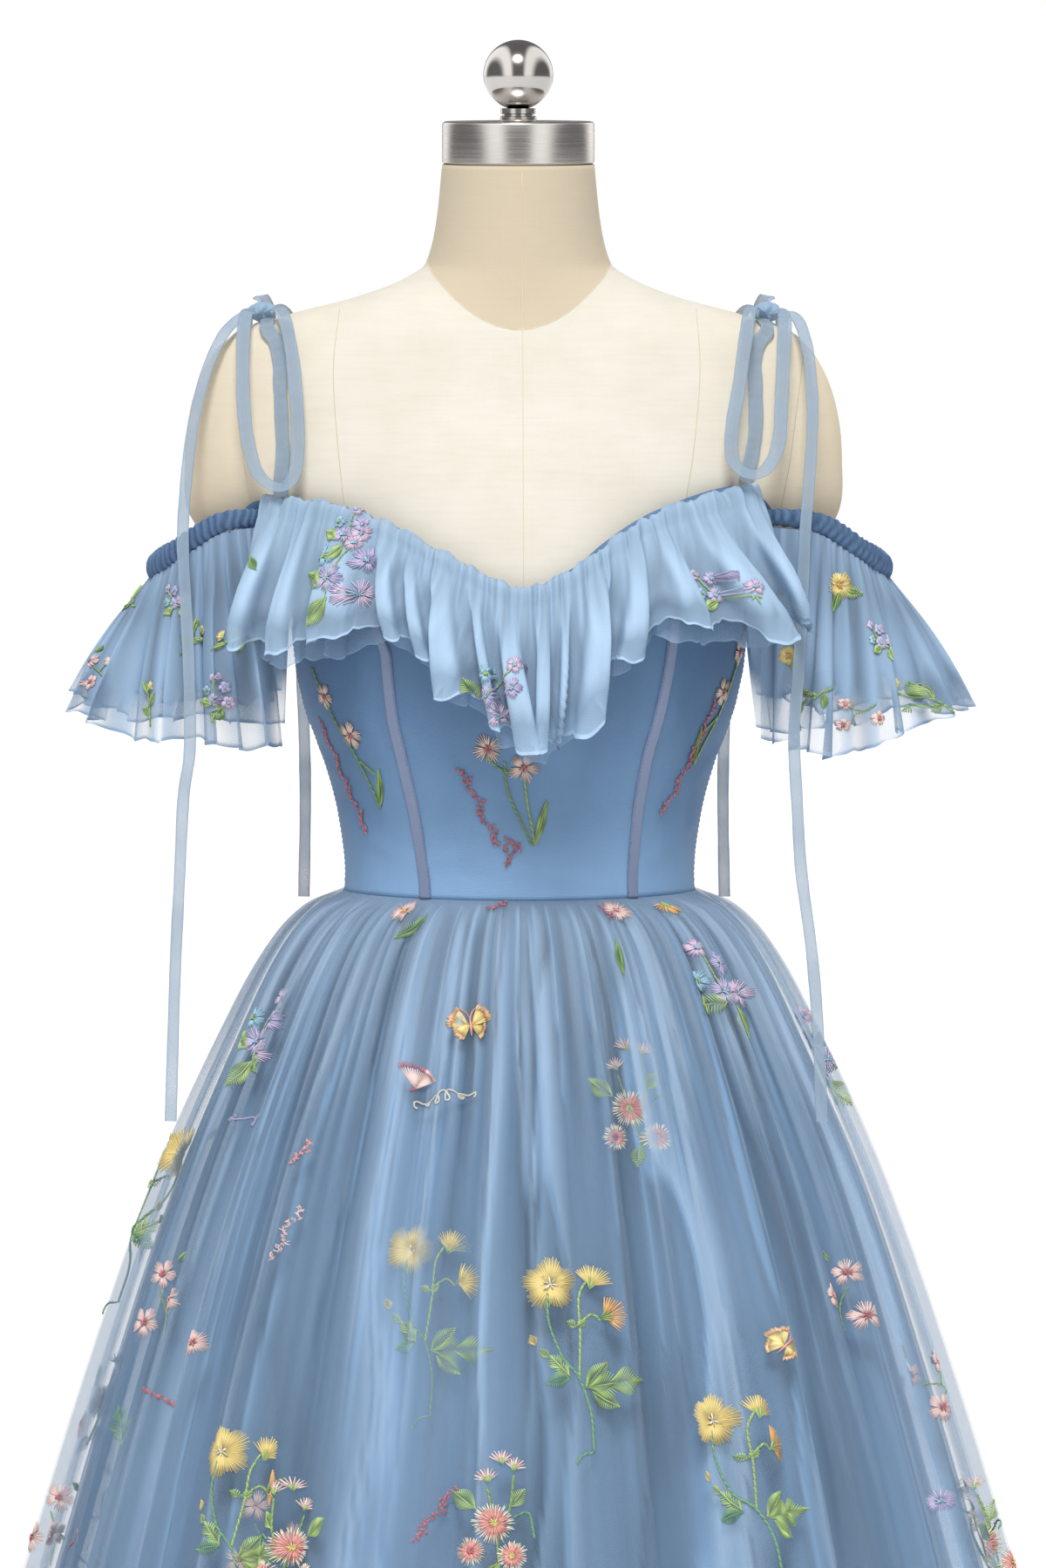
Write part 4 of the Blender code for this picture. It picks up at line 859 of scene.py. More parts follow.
def build_form():
    """The linen torso with its seams, and the steel neck cap, stem, ball, pole and base."""
    heights = np.concatenate([np.linspace(-0.2795, 0.19, 40), np.linspace(0.193, 0.459, 92)])
    angles = np.linspace(0.0, 2.0 * np.pi, 121)[:-1]
    points = torso_base(angles[None, :], heights[::-1, None])
    points = np.concatenate([points[:1] * 0.0 + np.array([NECK_AXIS_X, 0.0, points[0, 0, 2]]), points,
                             points[-1:] * 0.0 + np.array([0.0, 0.0, points[-1, 0, 2]])])
    torso = grid_piece("form_linen_torso", points, PAINTS["linen"], around=True)
    belongs(torso, ["form_torso"])

    seams = []
    ring = np.linspace(0.0, 2.0 * np.pi, 97)
    low, high = np.full(ring.shape, 0.30), np.full(ring.shape, 0.455)
    for _ in range(SEAM_BISECTIONS):
        height = (low + high) / 2.0
        x, y = torso_base(ring, height)[:, :2].T
        behind = np.clip((y - NECK_SEAM_TURN[0]) / (NECK_SEAM_TURN[1] - NECK_SEAM_TURN[0]), 0.0, 1.0)
        seam = (NECK_SEAM_LOW - WAIST_HEIGHT + NECK_SEAM_BOWL * x * x * (1.0 - behind)
                + NECK_SEAM_BACK * behind)
        low, high = np.where(height < seam, height, low), np.where(height < seam, high, height)
    seams.append(torso_point(ring, height, np.full(ring.shape, 0.0001)))
    seam_rows = (
        ((0.0016, 0.455), (0.0022, 0.30), (0.0026, 0.16), (0.0022, 0.0)),
        ((-0.113, 0.3685), (-0.1165, 0.33), (-0.1130, 0.28), (-0.1075, 0.235)),
        ((0.111, 0.3685), (0.1130, 0.33), (0.1085, 0.28), (0.1015, 0.240)),
        ((-0.1812, 0.352), (-0.1790, 0.32), (-0.1740, 0.28), (-0.1670, 0.235)),
        ((0.1805, 0.352), (0.1745, 0.31), (0.1690, 0.27), (0.1620, 0.235)),
    )
    for rows in seam_rows:
        route = spline([(x, 0.0, height) for x, height in rows], 40)
        for back in (False, True):
            angle = np.array([torso_angle(x, height, back) for x, _, height in route])
            seams.append(torso_point(angle, route[:, 2], np.full(len(route), 0.0001)))
    parts = [(*tube_mesh(path, SEAM_THREAD_RADIUS, 5), 0) for path in seams]
    belongs(joined("form_seam_lines", parts, [PAINTS["seam"]]), [])

    rim = 0.0012
    cap_radius = (CAP_HIGH.x - CAP_LOW.x) / 2.0
    axis = (NECK_AXIS_X, 0.0)
    cap = lathe("form_cap", (
        (cap_radius - rim, CAP_LOW.z), (cap_radius, CAP_LOW.z + rim), (cap_radius, CAP_HIGH.z - rim * 1.6),
        (cap_radius - rim * 0.5, CAP_HIGH.z - rim * 0.5), (cap_radius - rim * 1.6, CAP_HIGH.z),
        (cap_radius * 0.5, CAP_HIGH.z), (0.002, CAP_HIGH.z)), 128, PAINTS["brushed"], axis)
    belongs(cap, ["form_neck_cap"])
    stem_radius = (STEM_HIGH.x - STEM_LOW.x) / 2.0
    middle = (STEM_LOW.z + STEM_HIGH.z) / 2.0
    stem = lathe("form_neck_stem", (
        (stem_radius * 0.96, STEM_LOW.z), (stem_radius, STEM_LOW.z + 0.0006), (stem_radius, middle - 0.0006),
        (stem_radius * 0.86, middle), (stem_radius * 0.86, middle + 0.0008),
        (stem_radius * 0.97, middle + 0.0014), (stem_radius * 0.97, STEM_HIGH.z + 0.0012)), 96,
        PAINTS["polished"], axis)
    belongs(stem, ["form_stem"])
    ball_radius = (BALL_HIGH.z - BALL_LOW.z) / 2.0
    profile = []
    for turn in np.linspace(0.03, math.pi - 0.03, 48):
        level = BALL_LOW.z + ball_radius - ball_radius * math.cos(turn)
        profile.append((ball_radius * math.sin(turn), level))
    belongs(lathe("form_ball", profile, 96, PAINTS["polished"], axis), ["form_finial_ball"])
    base = lathe("round_base", (
        (BASE_RADIUS - 0.001, 0.0), (BASE_RADIUS, 0.0012), (BASE_RADIUS, BASE_TOP - 0.002),
        (BASE_RADIUS - 0.0006, BASE_TOP - 0.0006), (BASE_RADIUS - 0.002, BASE_TOP), (0.05, BASE_TOP + 0.0002),
        (0.002, BASE_TOP + 0.0002)), 160, PAINTS["brushed"])
    belongs(base, ["stand_base"])
    collar = BASE_TOP + 0.0003
    pole = lathe("upright_pole", (
        (POLE_RADIUS * 2.1, collar), (POLE_RADIUS * 2.1, collar + 0.003), (POLE_RADIUS * 1.9, collar + 0.006),
        (POLE_RADIUS * 1.25, collar + 0.010), (POLE_RADIUS * 1.12, collar + 0.014),
        (POLE_RADIUS, collar + 0.016), (POLE_RADIUS, FORM_FOOT - SEAM_GAP)), 64, PAINTS["brushed"])
    belongs(pole, ["stand_pole"])


# Bodice


# Drag lines of the bodice: angle, height, length, width, tilt and depth
CREASE_ROWS = (
    (-20.0, 0.030, 0.040, 0.0050, 12.0, 0.0007), (8.0, 0.018, 0.050, 0.0045, -8.0, 0.0008),
    (22.0, 0.050, 0.036, 0.0050, 16.0, -0.0006), (-8.0, 0.072, 0.050, 0.0060, -14.0, 0.0006),
    (-60.0, 0.040, 0.042, 0.0050, -18.0, 0.0009), (-75.0, 0.080, 0.040, 0.0055, -24.0, 0.0008),
    (-50.0, 0.110, 0.036, 0.0050, -30.0, -0.0006), (62.0, 0.036, 0.040, 0.0050, 20.0, 0.0009),
    (76.0, 0.085, 0.044, 0.0055, 26.0, 0.0008), (54.0, 0.118, 0.034, 0.0050, 34.0, -0.0006),
    (120.0, 0.030, 0.050, 0.0060, 10.0, 0.0009), (150.0, 0.060, 0.050, 0.0060, -12.0, 0.0008),
    (-130.0, 0.045, 0.050, 0.0060, -10.0, 0.0009), (-155.0, 0.090, 0.045, 0.0060, 14.0, 0.0008),
    (165.0, 0.120, 0.040, 0.0055, -20.0, 0.0007), (-112.0, 0.120, 0.046, 0.0060, 22.0, 0.0008),
    (108.0, 0.125, 0.046, 0.0060, -22.0, 0.0008), (0.0, 0.110, 0.060, 0.0070, 4.0, 0.0005),
)


def crease_lift(angle, height):
    """Soft drag lines across the bodice: how far each point stands out or in."""
    lift = np.zeros(np.broadcast(angle, height).shape)
    for place, level, length, width, tilt, depth in CREASE_ROWS:
        across = (np.degrees(angle) - place) * math.radians(1.0) * 0.12
        upward = height - level
        turn = math.radians(tilt)
        along = across * math.cos(turn) + upward * math.sin(turn)
        aside = upward * math.cos(turn) - across * math.sin(turn)
        lift += depth * np.exp(-(along / length) ** 2 - (aside / width) ** 2)
    return lift


def panel_points(start, end, rows, columns, lift, edge_drop=0.0):
    """Grid of a bodice panel between two seams, each a function of height that gives an angle."""
    across = np.linspace(0.0, 1.0, columns)
    middle = start(BUST_HEIGHT) * (1.0 - across) + end(BUST_HEIGHT) * across
    edge = TOP_EDGE(np.degrees(middle)) - edge_drop
    share = np.linspace(1.0, 0.0, rows)[:, None]
    height = edge[None, :] * share
    angle = start(height) * (1.0 - across) + end(height) * across
    return torso_point(angle, height, ease_at(height) + lift + crease_lift(angle, height))


def over_bodice(angle, height):
    """Points just over the bodice's cloth, where its stitches lie."""
    lift = ease_at(height) + BODICE_WALL + STITCH_LIFT + crease_lift(angle, height)
    return torso_point(angle, height, lift)


def stitch_row(path, pitch, length, radius):
    """Short raised stitches along a path."""
    steps = np.linalg.norm(np.diff(path, axis=0), axis=-1)
    distance = np.concatenate([[0.0], np.cumsum(steps)])
    parts = []
    place = pitch / 2.0
    while place < distance[-1] - length:
        spots = np.array([place, place + length / 2.0, place + length])
        points = np.stack([np.interp(spots, distance, path[:, axis]) for axis in range(3)], axis=-1)
        parts.append((*tube_mesh(points, (radius * 0.5, radius, radius * 0.5), 4), 0))
        place += pitch
    return parts


def build_bodice():
    """Five cloth panels with drag lines and painted shade, and rows of stitches beside the seams."""
    half_seam = SEAM_GAP / 2.0 / 0.108
    seams = {
        "side_left": lambda height: np.full(np.shape(height), -math.pi / 2.0),
        "side_right": lambda height: np.full(np.shape(height), math.pi / 2.0),
        "back_left": lambda height: np.full(np.shape(height), -math.pi),
        "back_right": lambda height: np.full(np.shape(height), math.pi),
        "boned_left": lambda height: np.radians(BONED_SEAM["left"](height)),
        "boned_right": lambda height: np.radians(BONED_SEAM["right"](height)),
    }
    panels = (
        ("front", "bodice_front", "boned_left", "boned_right", 76),
        ("side_left", "bodice_side_front_left", "side_left", "boned_left", 56),
        ("side_right", "bodice_side_front_right", "boned_right", "side_right", 56),
        ("back_left", "bodice_back_left", "back_left", "side_left", 66),
        ("back_right", "bodice_back_right", "side_right", "back_right", 66),
    )
    for name, node, first, second, columns in panels:
        start = lambda height, seam=seams[first]: seam(height) + half_seam
        end = lambda height, seam=seams[second]: seam(height) - half_seam
        points = panel_points(start, end, 60, columns, BODICE_WALL)
        # Painted light and shade in the tone: lighter at the waist, a painted shadow darkening up towards the
        # ruffle, and painted shade where the cloth turns away to the sides.
        turned_away = np.abs(points[..., 0]) / np.linalg.norm(points[..., :2], axis=-1)
        height = points[..., 2] - WAIST_HEIGHT
        tone = (0.12 - 0.66 * smooth_step(0.000, 0.062, height) - 0.34 * smooth_step(0.060, 0.140, height)
                - 0.40 * smooth_step(0.66, 1.0, turned_away))
        piece = grid_piece("cloth_" + name, points, PAINTS["bodice"], BODICE_WALL * 0.8, -1.0, tone=tone)
        belongs(piece, [node])
    stitches = []
    heights = np.linspace(0.004, 0.162, 80)
    for side in (-1.0, 1.0):
        for offset in (-0.022, 0.022):
            angle = np.full(heights.shape, side * math.pi / 2.0 + offset)
            stitches += stitch_row(over_bodice(angle, heights), *EDGE_STITCHES)
    for first, last in ((-178.5, -72.0), (72.0, 178.5)):
        turn = np.radians(np.linspace(first, last, 150))
        edge = TOP_EDGE(np.degrees(turn)) - 0.0045
        stitches += stitch_row(over_bodice(turn, edge), *EDGE_STITCHES)
    belongs(joined("bodice_stitches", stitches, [PAINTS["stitch"]]), [])


def build_channels():
    """Satin boning channels, crowned over their bones, with a dotted row of stitches down each edge."""
    for side in ("left", "right"):
        seam = BONED_SEAM[side]
        edge = float(TOP_EDGE(float(seam(BUST_HEIGHT)))) * 0.90
        height = np.linspace(edge, 0.0006, 120)
        angle = np.radians(seam(height))
        radius = TORSO["half_width"](height)
        across = np.sin(np.linspace(-math.pi / 2.0, math.pi / 2.0, 19))
        crown = 0.0003 + 0.0020 * (1.0 - across**6)
        turn = angle[:, None] + across[None, :] * (CHANNEL_WIDTH / 2.0 / radius)[:, None]
        level = np.repeat(height[:, None], len(across), axis=1)
        ripple = 0.00015 * wobble(level * 600.0, 1.0)
        lift = ease_at(level) + BODICE_WALL + crown[None, :] + ripple
        points = torso_point(turn, level, lift)
        piece = grid_piece("satin_channel_" + side, points, PAINTS["channel"], 0.0005, -1.0)
        belongs(piece, ["boning_channel_" + side])
        parts = []
        for place in (-0.80, 0.80):
            path = torso_point(angle + place * CHANNEL_WIDTH / 2.0 / radius, height,
                               ease_at(height) + BODICE_WALL + 0.0015)
            parts += stitch_row(path, *CHANNEL_STITCHES)
        belongs(joined("channel_stitches_" + side, parts, [PAINTS["stitch"]]), [])


def build_zip():
    """Lips of the concealed zip down the centre back, and its slider and pull with their edges rounded."""
    height = np.linspace(0.156, 0.001, 90)
    across = np.linspace(-1.0, 1.0, 17)
    level = np.repeat(height[:, None], len(across), axis=1)
    half = (ZIP_HALF_WIDTH / TORSO["half_width"](height))[:, None]
    lips = 0.0004 + 0.0011 * np.sin(np.pi * np.clip(np.abs(across), 0.0, 1.0)) ** 0.6
    lift = ease_at(level) + BODICE_WALL + lips[None, :]
    points = torso_point(math.pi + across[None, :] * half, level, lift)
    piece = grid_piece("zip_lips", points, PAINTS["zip"], 0.0004, -1.0)
    belongs(piece, ["back_zip"])
    for node, body in (("zip_slider", BODY), ("zip_pull", PULL_BODY)):
        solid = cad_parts[node]
        mesh = solid.data.copy()
        mesh.transform(solid.matrix_world)
        mesh.materials.clear()
        metal = link(node + "_rounded", mesh, [PAINTS["zip_metal"]])
        rounding = metal.modifiers.new("rounding", "BEVEL")
        rounding.width = 0.00022
        rounding.segments = 3
        rounding.angle_limit = math.radians(40.0)
        belongs(metal, [node], body)


# Neck ruffle


def fluted(base, outward, sideways, place, count, depth, roll, lean):
    """Moves a grid of points into rolled flutes: out by the fold, and aside so that each flute swells."""
    index, phase, wave = fold_wave(place, count)
    turn = 2.0 * np.pi * phase
    out = wave * depth
    swing = np.where(index % 2 == 0, 1.0, -0.75) * (0.6 + 0.4 * np.cos(2.7 * index))
    aside = roll * np.sin(2.0 * turn) + lean * swing * 0.5 * (1.0 - np.cos(turn))
    flank = np.abs(np.sin(turn))
    return base + outward * out[..., None] + sideways * aside[..., None], flank


def flute_column(name):
    """One column of the flutes' table."""
    return np.array([row[FLUTE_COLUMNS.index(name)] for row in FLUTE_ROWS])


def flutes(degrees, share):
    """Flute number and phase over a grid of the upper ruffle; the flutes lean more as they fall."""
    widths, leans = flute_column("width"), flute_column("lean")
    tops = NECKLINE_ROWS[0][0] + np.concatenate([[0.0], np.cumsum(widths)])
    tops[-1] = NECKLINE_ROWS[-1][0]
    shift = np.concatenate([[0.0], (leans[1:] + leans[:-1]) / 2.0, [0.0]])
    place = np.stack([np.interp(row, tops + shift * fall**1.3, np.arange(len(tops)))
                      for row, fall in zip(degrees, share[:, 0])])
    index = np.minimum(place.astype(int), len(FLUTE_ROWS) - 1)
    return index, place - index


def ruffle_points(columns, rows, under):
    """Grid of one ruffle layer, rolled over the neckline at its top, with its cover and its tone of painted
    light and shade.
    """
    start, end = NECKLINE_ROWS[0][0], NECKLINE_ROWS[-1][0]
    degrees = np.linspace(start, end, columns)[None, :]
    share = np.concatenate([np.linspace(0.0, 0.12, 12), np.linspace(0.12, 1.0, rows - 12)[1:]])[:, None]
    degrees, share = np.broadcast_arrays(degrees, share)
    angle = np.radians(degrees)
    count = RUFFLE_UNDER_FOLDS
    place = (degrees - start) / (end - start) * count
    fall = RUFFLE_FALL(degrees) + (0.010 + 0.004 * wobble(degrees * 0.45, 3.0) if under else 0.0)
    reach = RUFFLE["under_reach" if under else "reach"](share)
    fold = RUFFLE["under_fold" if under else "fold"](share)
    height = NECKLINE(degrees)
    edge = torso_point(angle, height, ease_at(height) + BODICE_WALL + SEAM_GAP)
    flare = RUFFLE_RIGHT_FLARE * smooth_step(20.0, 42.0, degrees) * share
    outward = np.stack([np.sin(angle), -np.cos(angle), np.zeros(angle.shape)], axis=-1)
    sideways = np.stack([np.cos(angle), np.sin(angle), np.zeros(angle.shape)], axis=-1)
    down = np.array([0.0, 0.0, -1.0])
    gather = (0.0013 * np.sin(degrees * 2.2 + 2.2 * wobble(degrees * 0.5, 2.0) + 1.5 * share)
              * (1.0 - smooth_step(0.15, 0.60, share)))
    short = 0.0 if under else 0.0058
    pucker = 0.0016 * np.abs(wobble(degrees * 1.3, 5.0)) * (1.0 - smooth_step(0.0, 0.1, share))
    puff = 0.25 + 0.95 * np.abs(np.sin(degrees * 0.50 + 0.9 * wobble(degrees * 0.35, 2.0)))
    rise = short * puff * np.sin(np.pi * np.clip(share / 0.12, 0.0, 1.0)) ** 0.8
    base = (edge + outward * (reach + flare + gather)[..., None]
            + down * (fall * share - rise - pucker)[..., None])
    if under:
        points, flank = fluted(base, outward, sideways, place, count,
                               fold, 0.0034 * share**0.8, 0.005 * share)
    else:
        index, phase = flutes(degrees, share)
        turn = 2.0 * np.pi * phase
        crest = 0.5 * (1.0 - np.cos(turn))
        grown = RUFFLE["fold"](share) / RUFFLE_ROWS[-1][RUFFLE_COLUMNS.index("fold")]
        grown = grown * (0.25 + 0.75 * smooth_step(0.05, 0.62, share))
        depths, widths = flute_column("depth")[index], flute_column("width")[index]
        pitch = np.radians(widths) * 0.15
        ripple = 0.0011 * wobble(degrees * 1.1 + 2.0 * share, 3.0) * share
        out = grown * (crest * (RUFFLE_VALLEY + depths) - RUFFLE_VALLEY) + ripple
        swing = np.array([math.sin(2.1 * k + 0.4) for k in range(len(FLUTE_ROWS))])[index]
        aside = grown * (0.165 * pitch * np.sin(2.0 * turn) + 0.34 * pitch * swing * crest * share)
        tuck = smooth_step(0.78, 1.0, share) * crest
        swag = 0.0065 * (crest - 0.45) * share**3 * depths / 0.011
        points = (base + outward * (out - 0.0050 * tuck**1.5)[..., None] + sideways * aside[..., None]
                  + down * (swag + 0.0025 * wobble(degrees * 0.7, 5.0) * share)[..., None])
        flank = np.abs(np.sin(turn))
    edge_line = 1.2 * smooth_step(0.968, 0.985, share)
    cover = (0.65 + 0.50 * flank * smooth_step(0.1, 0.6, share) - 1.45 * smooth_step(0.66, 0.97, share)
               + edge_line)
    lengthwise = 0.22 * wobble(degrees * 2.1 + 5.0 * share, 2.0) + 0.12 * np.sin(degrees * 2.9)
    # Painted light and shade: the upper layer is lighter on its flutes' crests and darker in their valleys,
    # and the under layer is painted darker all over as shade under the upper one; the lengthwise streaks are
    # a random tone, and the tone rises towards the hem.
    shadow = -0.30 if under else (crest - 0.52) * 1.10 * smooth_step(0.10, 0.60, share)
    tone = shadow + lengthwise * (1.0 - smooth_step(0.30, 0.80, share)) + 0.45 * smooth_step(0.78, 1.0, share)
    return points, cover, tone


def build_ruffle():
    """Both layers of the neck ruffle."""
    points, cover, tone = ruffle_points(len(FLUTE_ROWS) * 28, 66, False)
    upper = grid_piece("ruffle_upper", points, PAINTS["ruffle"], cover=cover, tone=tone)
    belongs(upper, ["neck_ruffle"])
    points, cover, tone = ruffle_points(RUFFLE_UNDER_FOLDS * 26, 44, True)
    under = grid_piece("ruffle_lower", points, PAINTS["ruffle_under"], cover=cover, tone=tone)
    belongs(under, ["neck_ruffle_under"])
    return upper


# Sleeves


def build_sleeve(side, mirror):
    """A gathered band round the arm and two sheer flounces below it."""
    flip = np.array([mirror, 1.0, 1.0])
    lift = EASE + CHEST_EASE + BODICE_WALL + 3.0 * SEAM_GAP + 0.00225
    ends = [(math.radians(angle) * mirror, height) for angle, height in (BAND_START, BAND_END)]
    first, last = [torso_point(angle, height, lift) for angle, height in ends]
    middle = np.array([(x, y, WAIST_HEIGHT + height) for x, y, height in BAND_ROUTE]) * flip
    route = np.vstack([first, middle, last])
    centre_xy = np.array([ARM_CENTRE[0] * mirror, ARM_CENTRE[1]])

    def away(points):
        flat = np.zeros(points.shape)
        flat[..., :2] = points[..., :2] - centre_xy
        return unit(flat)

    centres = spline(route, BAND_STEPS)
    tangent = unit(np.gradient(centres, axis=0))
    face = away(centres)
    rising = np.linspace(0, 1, BAND_END_STEPS)[:, None]
    fading = np.linspace(1, 0, BAND_END_STEPS)[:, None]
    off_form = (first - torso_base(*ends[0]))[None, :] * 200.0
    face[:BAND_END_STEPS] = unit(face[:BAND_END_STEPS] * rising + off_form * fading)
    face = unit(face - tangent * (face * tangent).sum(-1, keepdims=True))
    up = np.cross(tangent, face)
    up = up * np.where(up[:, 2:3] > 0.0, 1.0, -1.0)
    turn = 2.0 * np.pi * np.arange(BAND_SIDES) / BAND_SIDES
    along = np.linspace(0.0, 1.0, BAND_STEPS)[:, None]
    gathers = np.sin(2.0 * np.pi * BAND_GATHERS * along + 1.6 * np.sin(2.0 * turn)[None, :]
                     + 3.0 * wobble(along * 23.0, 1.0))
    fine = wobble(along * 310.0 + 2.0 * turn[None, :], 4.0)
    swell = 1.0 + 0.28 * gathers + 0.12 * fine
    ends_in = np.sin(np.pi * np.clip(along, 0.004, 0.996)) ** 0.12
    thick = (BAND_THICKNESS / 2.0) * swell * ends_in
    wide = (BAND_WIDTH / 2.0) * (1.0 + 0.09 * gathers) * ends_in
    points = (centres[:, None, :] + face[:, None, :] * (np.cos(turn)[None, :] * thick)[..., None]
              + up[:, None, :] * (np.sin(turn)[None, :] * wide)[..., None])
    caps = np.concatenate([np.repeat(centres[:1, None, :], BAND_SIDES, axis=1), points,
                           np.repeat(centres[-1:, None, :], BAND_SIDES, axis=1)])
    if mirror < 0.0:
        caps = caps[:, ::-1]
    # Painted shade and light: the band's colour darkens in the gathers' valleys and lightens on their crests.
    painted_gather_shade = np.concatenate([gathers[:1], gathers, gathers[-1:]]) * 0.55
    band = grid_piece("gathered_band_" + side, caps, PAINTS["band"], around=True, tone=painted_gather_shade)
    belongs(band, ["sleeve_band_" + side])

    lower = centres - up * (BAND_WIDTH * 0.40)
    hem = np.array([(x, y, WAIST_HEIGHT + height) for x, y, height in HEM_ROUTE]) * flip

    def flounce(name, node, folds, length, inset, spread, depth, roll, columns, rows):
        place = np.linspace(0.0, 1.0, columns)
        top = spline(lower, columns) + np.array([0.0, 0.0, -0.0010])
        foot = spline(hem, columns)
        foot[:, 2] += 0.007 * wobble(place * 17.0, 2.0 + mirror) + 0.002 * wobble(place * 60.0, 3.0)
        outward = away((top + foot) / 2.0)[None]
        sideways = np.cross(np.array([0.0, 0.0, 1.0]), outward)
        share = np.linspace(0.0, 1.0, rows)[:, None]
        drop = share * length
        base = top[None] * (1.0 - drop[..., None]) + foot[None] * drop[..., None]
        bulge = FLOUNCE_BULGE * np.sin(np.pi * drop) - inset - spread * share
        gather = 0.0008 * np.sin(place[None, :] * 2.0 * np.pi * 58.0) * (1.0 - smooth_step(0.0, 0.5, share))
        base = base + outward * (bulge + gather)[..., None]
        amount = depth * (0.06 + 0.94 * share) * np.ones((1, columns))
        points, flank = fluted(base, outward, sideways, place[None, :] * folds, folds,
                               amount, roll * share, roll * 1.3 * share)
        small = np.sin(place[None, :] * 2.0 * np.pi * folds * 2.7
                       + 2.0 * wobble(place[None, :] * 21.0, 4.0) + share)
        points = points + outward * (0.0016 * small * smooth_step(0.0, 0.4, share))[..., None]
        cover = (0.98 - 1.20 * smooth_step(0.50, 0.97, share) + 0.60 * flank * share
                   + 0.60 * (1.0 - smooth_step(0.0, 0.45, share)) + 0.30 * small * share
                   + 0.7 * smooth_step(0.975, 0.99, share))
        # Painted shade and light in the tone: darker on the folds' flanks, lighter and darker with the small
        # ripples, and darker near the band.
        tone = (0.50 - 0.95 * flank * smooth_step(0.0, 0.3, share) + 0.28 * small
                - 0.80 * (1.0 - smooth_step(0.05, 0.60, share)))
        if mirror < 0.0:
            points, cover, tone = points[:, ::-1], cover[:, ::-1], tone[:, ::-1]
        piece = grid_piece(name, points, PAINTS["sleeve"], cover=np.clip(cover, -0.6, 1.4), tone=tone)
        belongs(piece, [node])
        return piece

    outer = flounce("flounce_outer_" + side, "sleeve_flounce_" + side, folds=FLOUNCE_FOLDS, length=1.0,
                    inset=-0.0012, spread=0.0, depth=FLOUNCE_FOLD_DEPTH, roll=0.0042, columns=230, rows=44)
    flounce("flounce_inner_" + side, "sleeve_flounce_under_" + side, folds=FLOUNCE_UNDER_FOLDS, length=0.80,
            inset=0.0018, spread=0.0115, depth=0.0026, roll=0.0020, columns=150, rows=30)
    return outer


# Ties


def ribbon(name, centres, facing, widths, nodes):
    """A soft flat tube of tulle along its centre line, rolled a little at its edges."""
    count = len(centres)
    tangent = unit(np.gradient(centres, axis=0))
    face = unit(facing - tangent * (facing * tangent).sum(-1, keepdims=True))
    across = np.cross(tangent, face)
    twist = 0.22 * wobble(np.linspace(0.0, 9.0, count), len(name))
    face, across = (face * np.cos(twist)[:, None] + across * np.sin(twist)[:, None],
                    across * np.cos(twist)[:, None] - face * np.sin(twist)[:, None])
    turn = 2.0 * np.pi * np.arange(RIBBON_SIDES) / RIBBON_SIDES
    edge = np.sign(np.cos(turn)) * np.abs(np.cos(turn)) ** 0.7
    thick = np.sign(np.sin(turn)) * (np.abs(np.sin(turn)) ** 0.5) * (0.62 + 0.5 * np.abs(edge) ** 4)
    along = np.linspace(0.0, 1.0, count)
    wide = widths / 2.0 * (1.0 + 0.05 * wobble(along * 60.0, 3.0))
    points = (centres[:, None, :] + across[:, None, :] * (wide[:, None] * edge[None, :])[..., None]
              + face[:, None, :] * (RIBBON_THICKNESS / 2.0 * thick)[None, :, None])
    cover = (0.30 + 0.22 * wobble(along * 40.0, 2.0))[:, None] + 0.75 * np.abs(edge)[None, :] ** 6
    piece = grid_piece(name, points, PAINTS["ribbon"], around=True, cover=cover)
    belongs(piece, nodes)
    return piece


def ribbon_widths(count, width, narrow_start, narrow_end):
    """Width of a ribbon at each point, gathered small where it runs into a knot."""
    place = np.arange(count) / (count - 1.0)
    from_start = smooth_step(0.0, 0.10, place) if narrow_start else 1.0
    from_end = smooth_step(0.0, 0.10, 1.0 - place) if narrow_end else 1.0
    return RIBBON_NECK + (width - RIBBON_NECK) * np.minimum(from_start, from_end) * np.ones(count)


def knot_centre(mirror):
    """Centre of a shoulder knot, on the form's shoulder line."""
    return torso_point(-math.pi / 2.0 * mirror, KNOT_HEIGHT, KNOT_LIFT)


def beside_knot(mirror, towards):
    """The point just outside a knot, on the way from its centre towards a point."""
    centre = knot_centre(mirror)
    way = unit(np.asarray(towards) - centre)
    reach = 1.0 / math.sqrt(sum((part / size) ** 2 for part, size in zip(way, KNOT_CORE)))
    return centre + way * (reach - 0.0006)


def build_knot(side, mirror):
    """A small knot: three turns of soft ribbon drawn tight over each other."""
    centre = knot_centre(mirror)
    turn = np.linspace(0.0, 2.0 * np.pi, 40)[:-1]
    down = np.linspace(0.0, np.pi, KNOT_ROWS)[:, None]
    folds = (1.0 + 0.14 * np.sin(5.0 * turn[None, :] + 3.0 * down)
             + 0.06 * np.sin(11.0 * turn[None, :] - 4.0 * down))
    shape = np.stack([np.sin(down) * np.cos(turn)[None, :] * KNOT_SIZE[0] * folds,
                      np.sin(down) * np.sin(turn)[None, :] * KNOT_SIZE[1] * folds,
                      np.cos(down) * np.ones(turn.shape)[None, :] * KNOT_SIZE[2]], axis=-1)
    piece = grid_piece("ribbon_knot_" + side, (centre + shape)[:, ::-1][::-1], PAINTS["knot"], around=True,
                       cover=np.array(1.3))
    return belongs(piece, ["tie_knot_" + side])


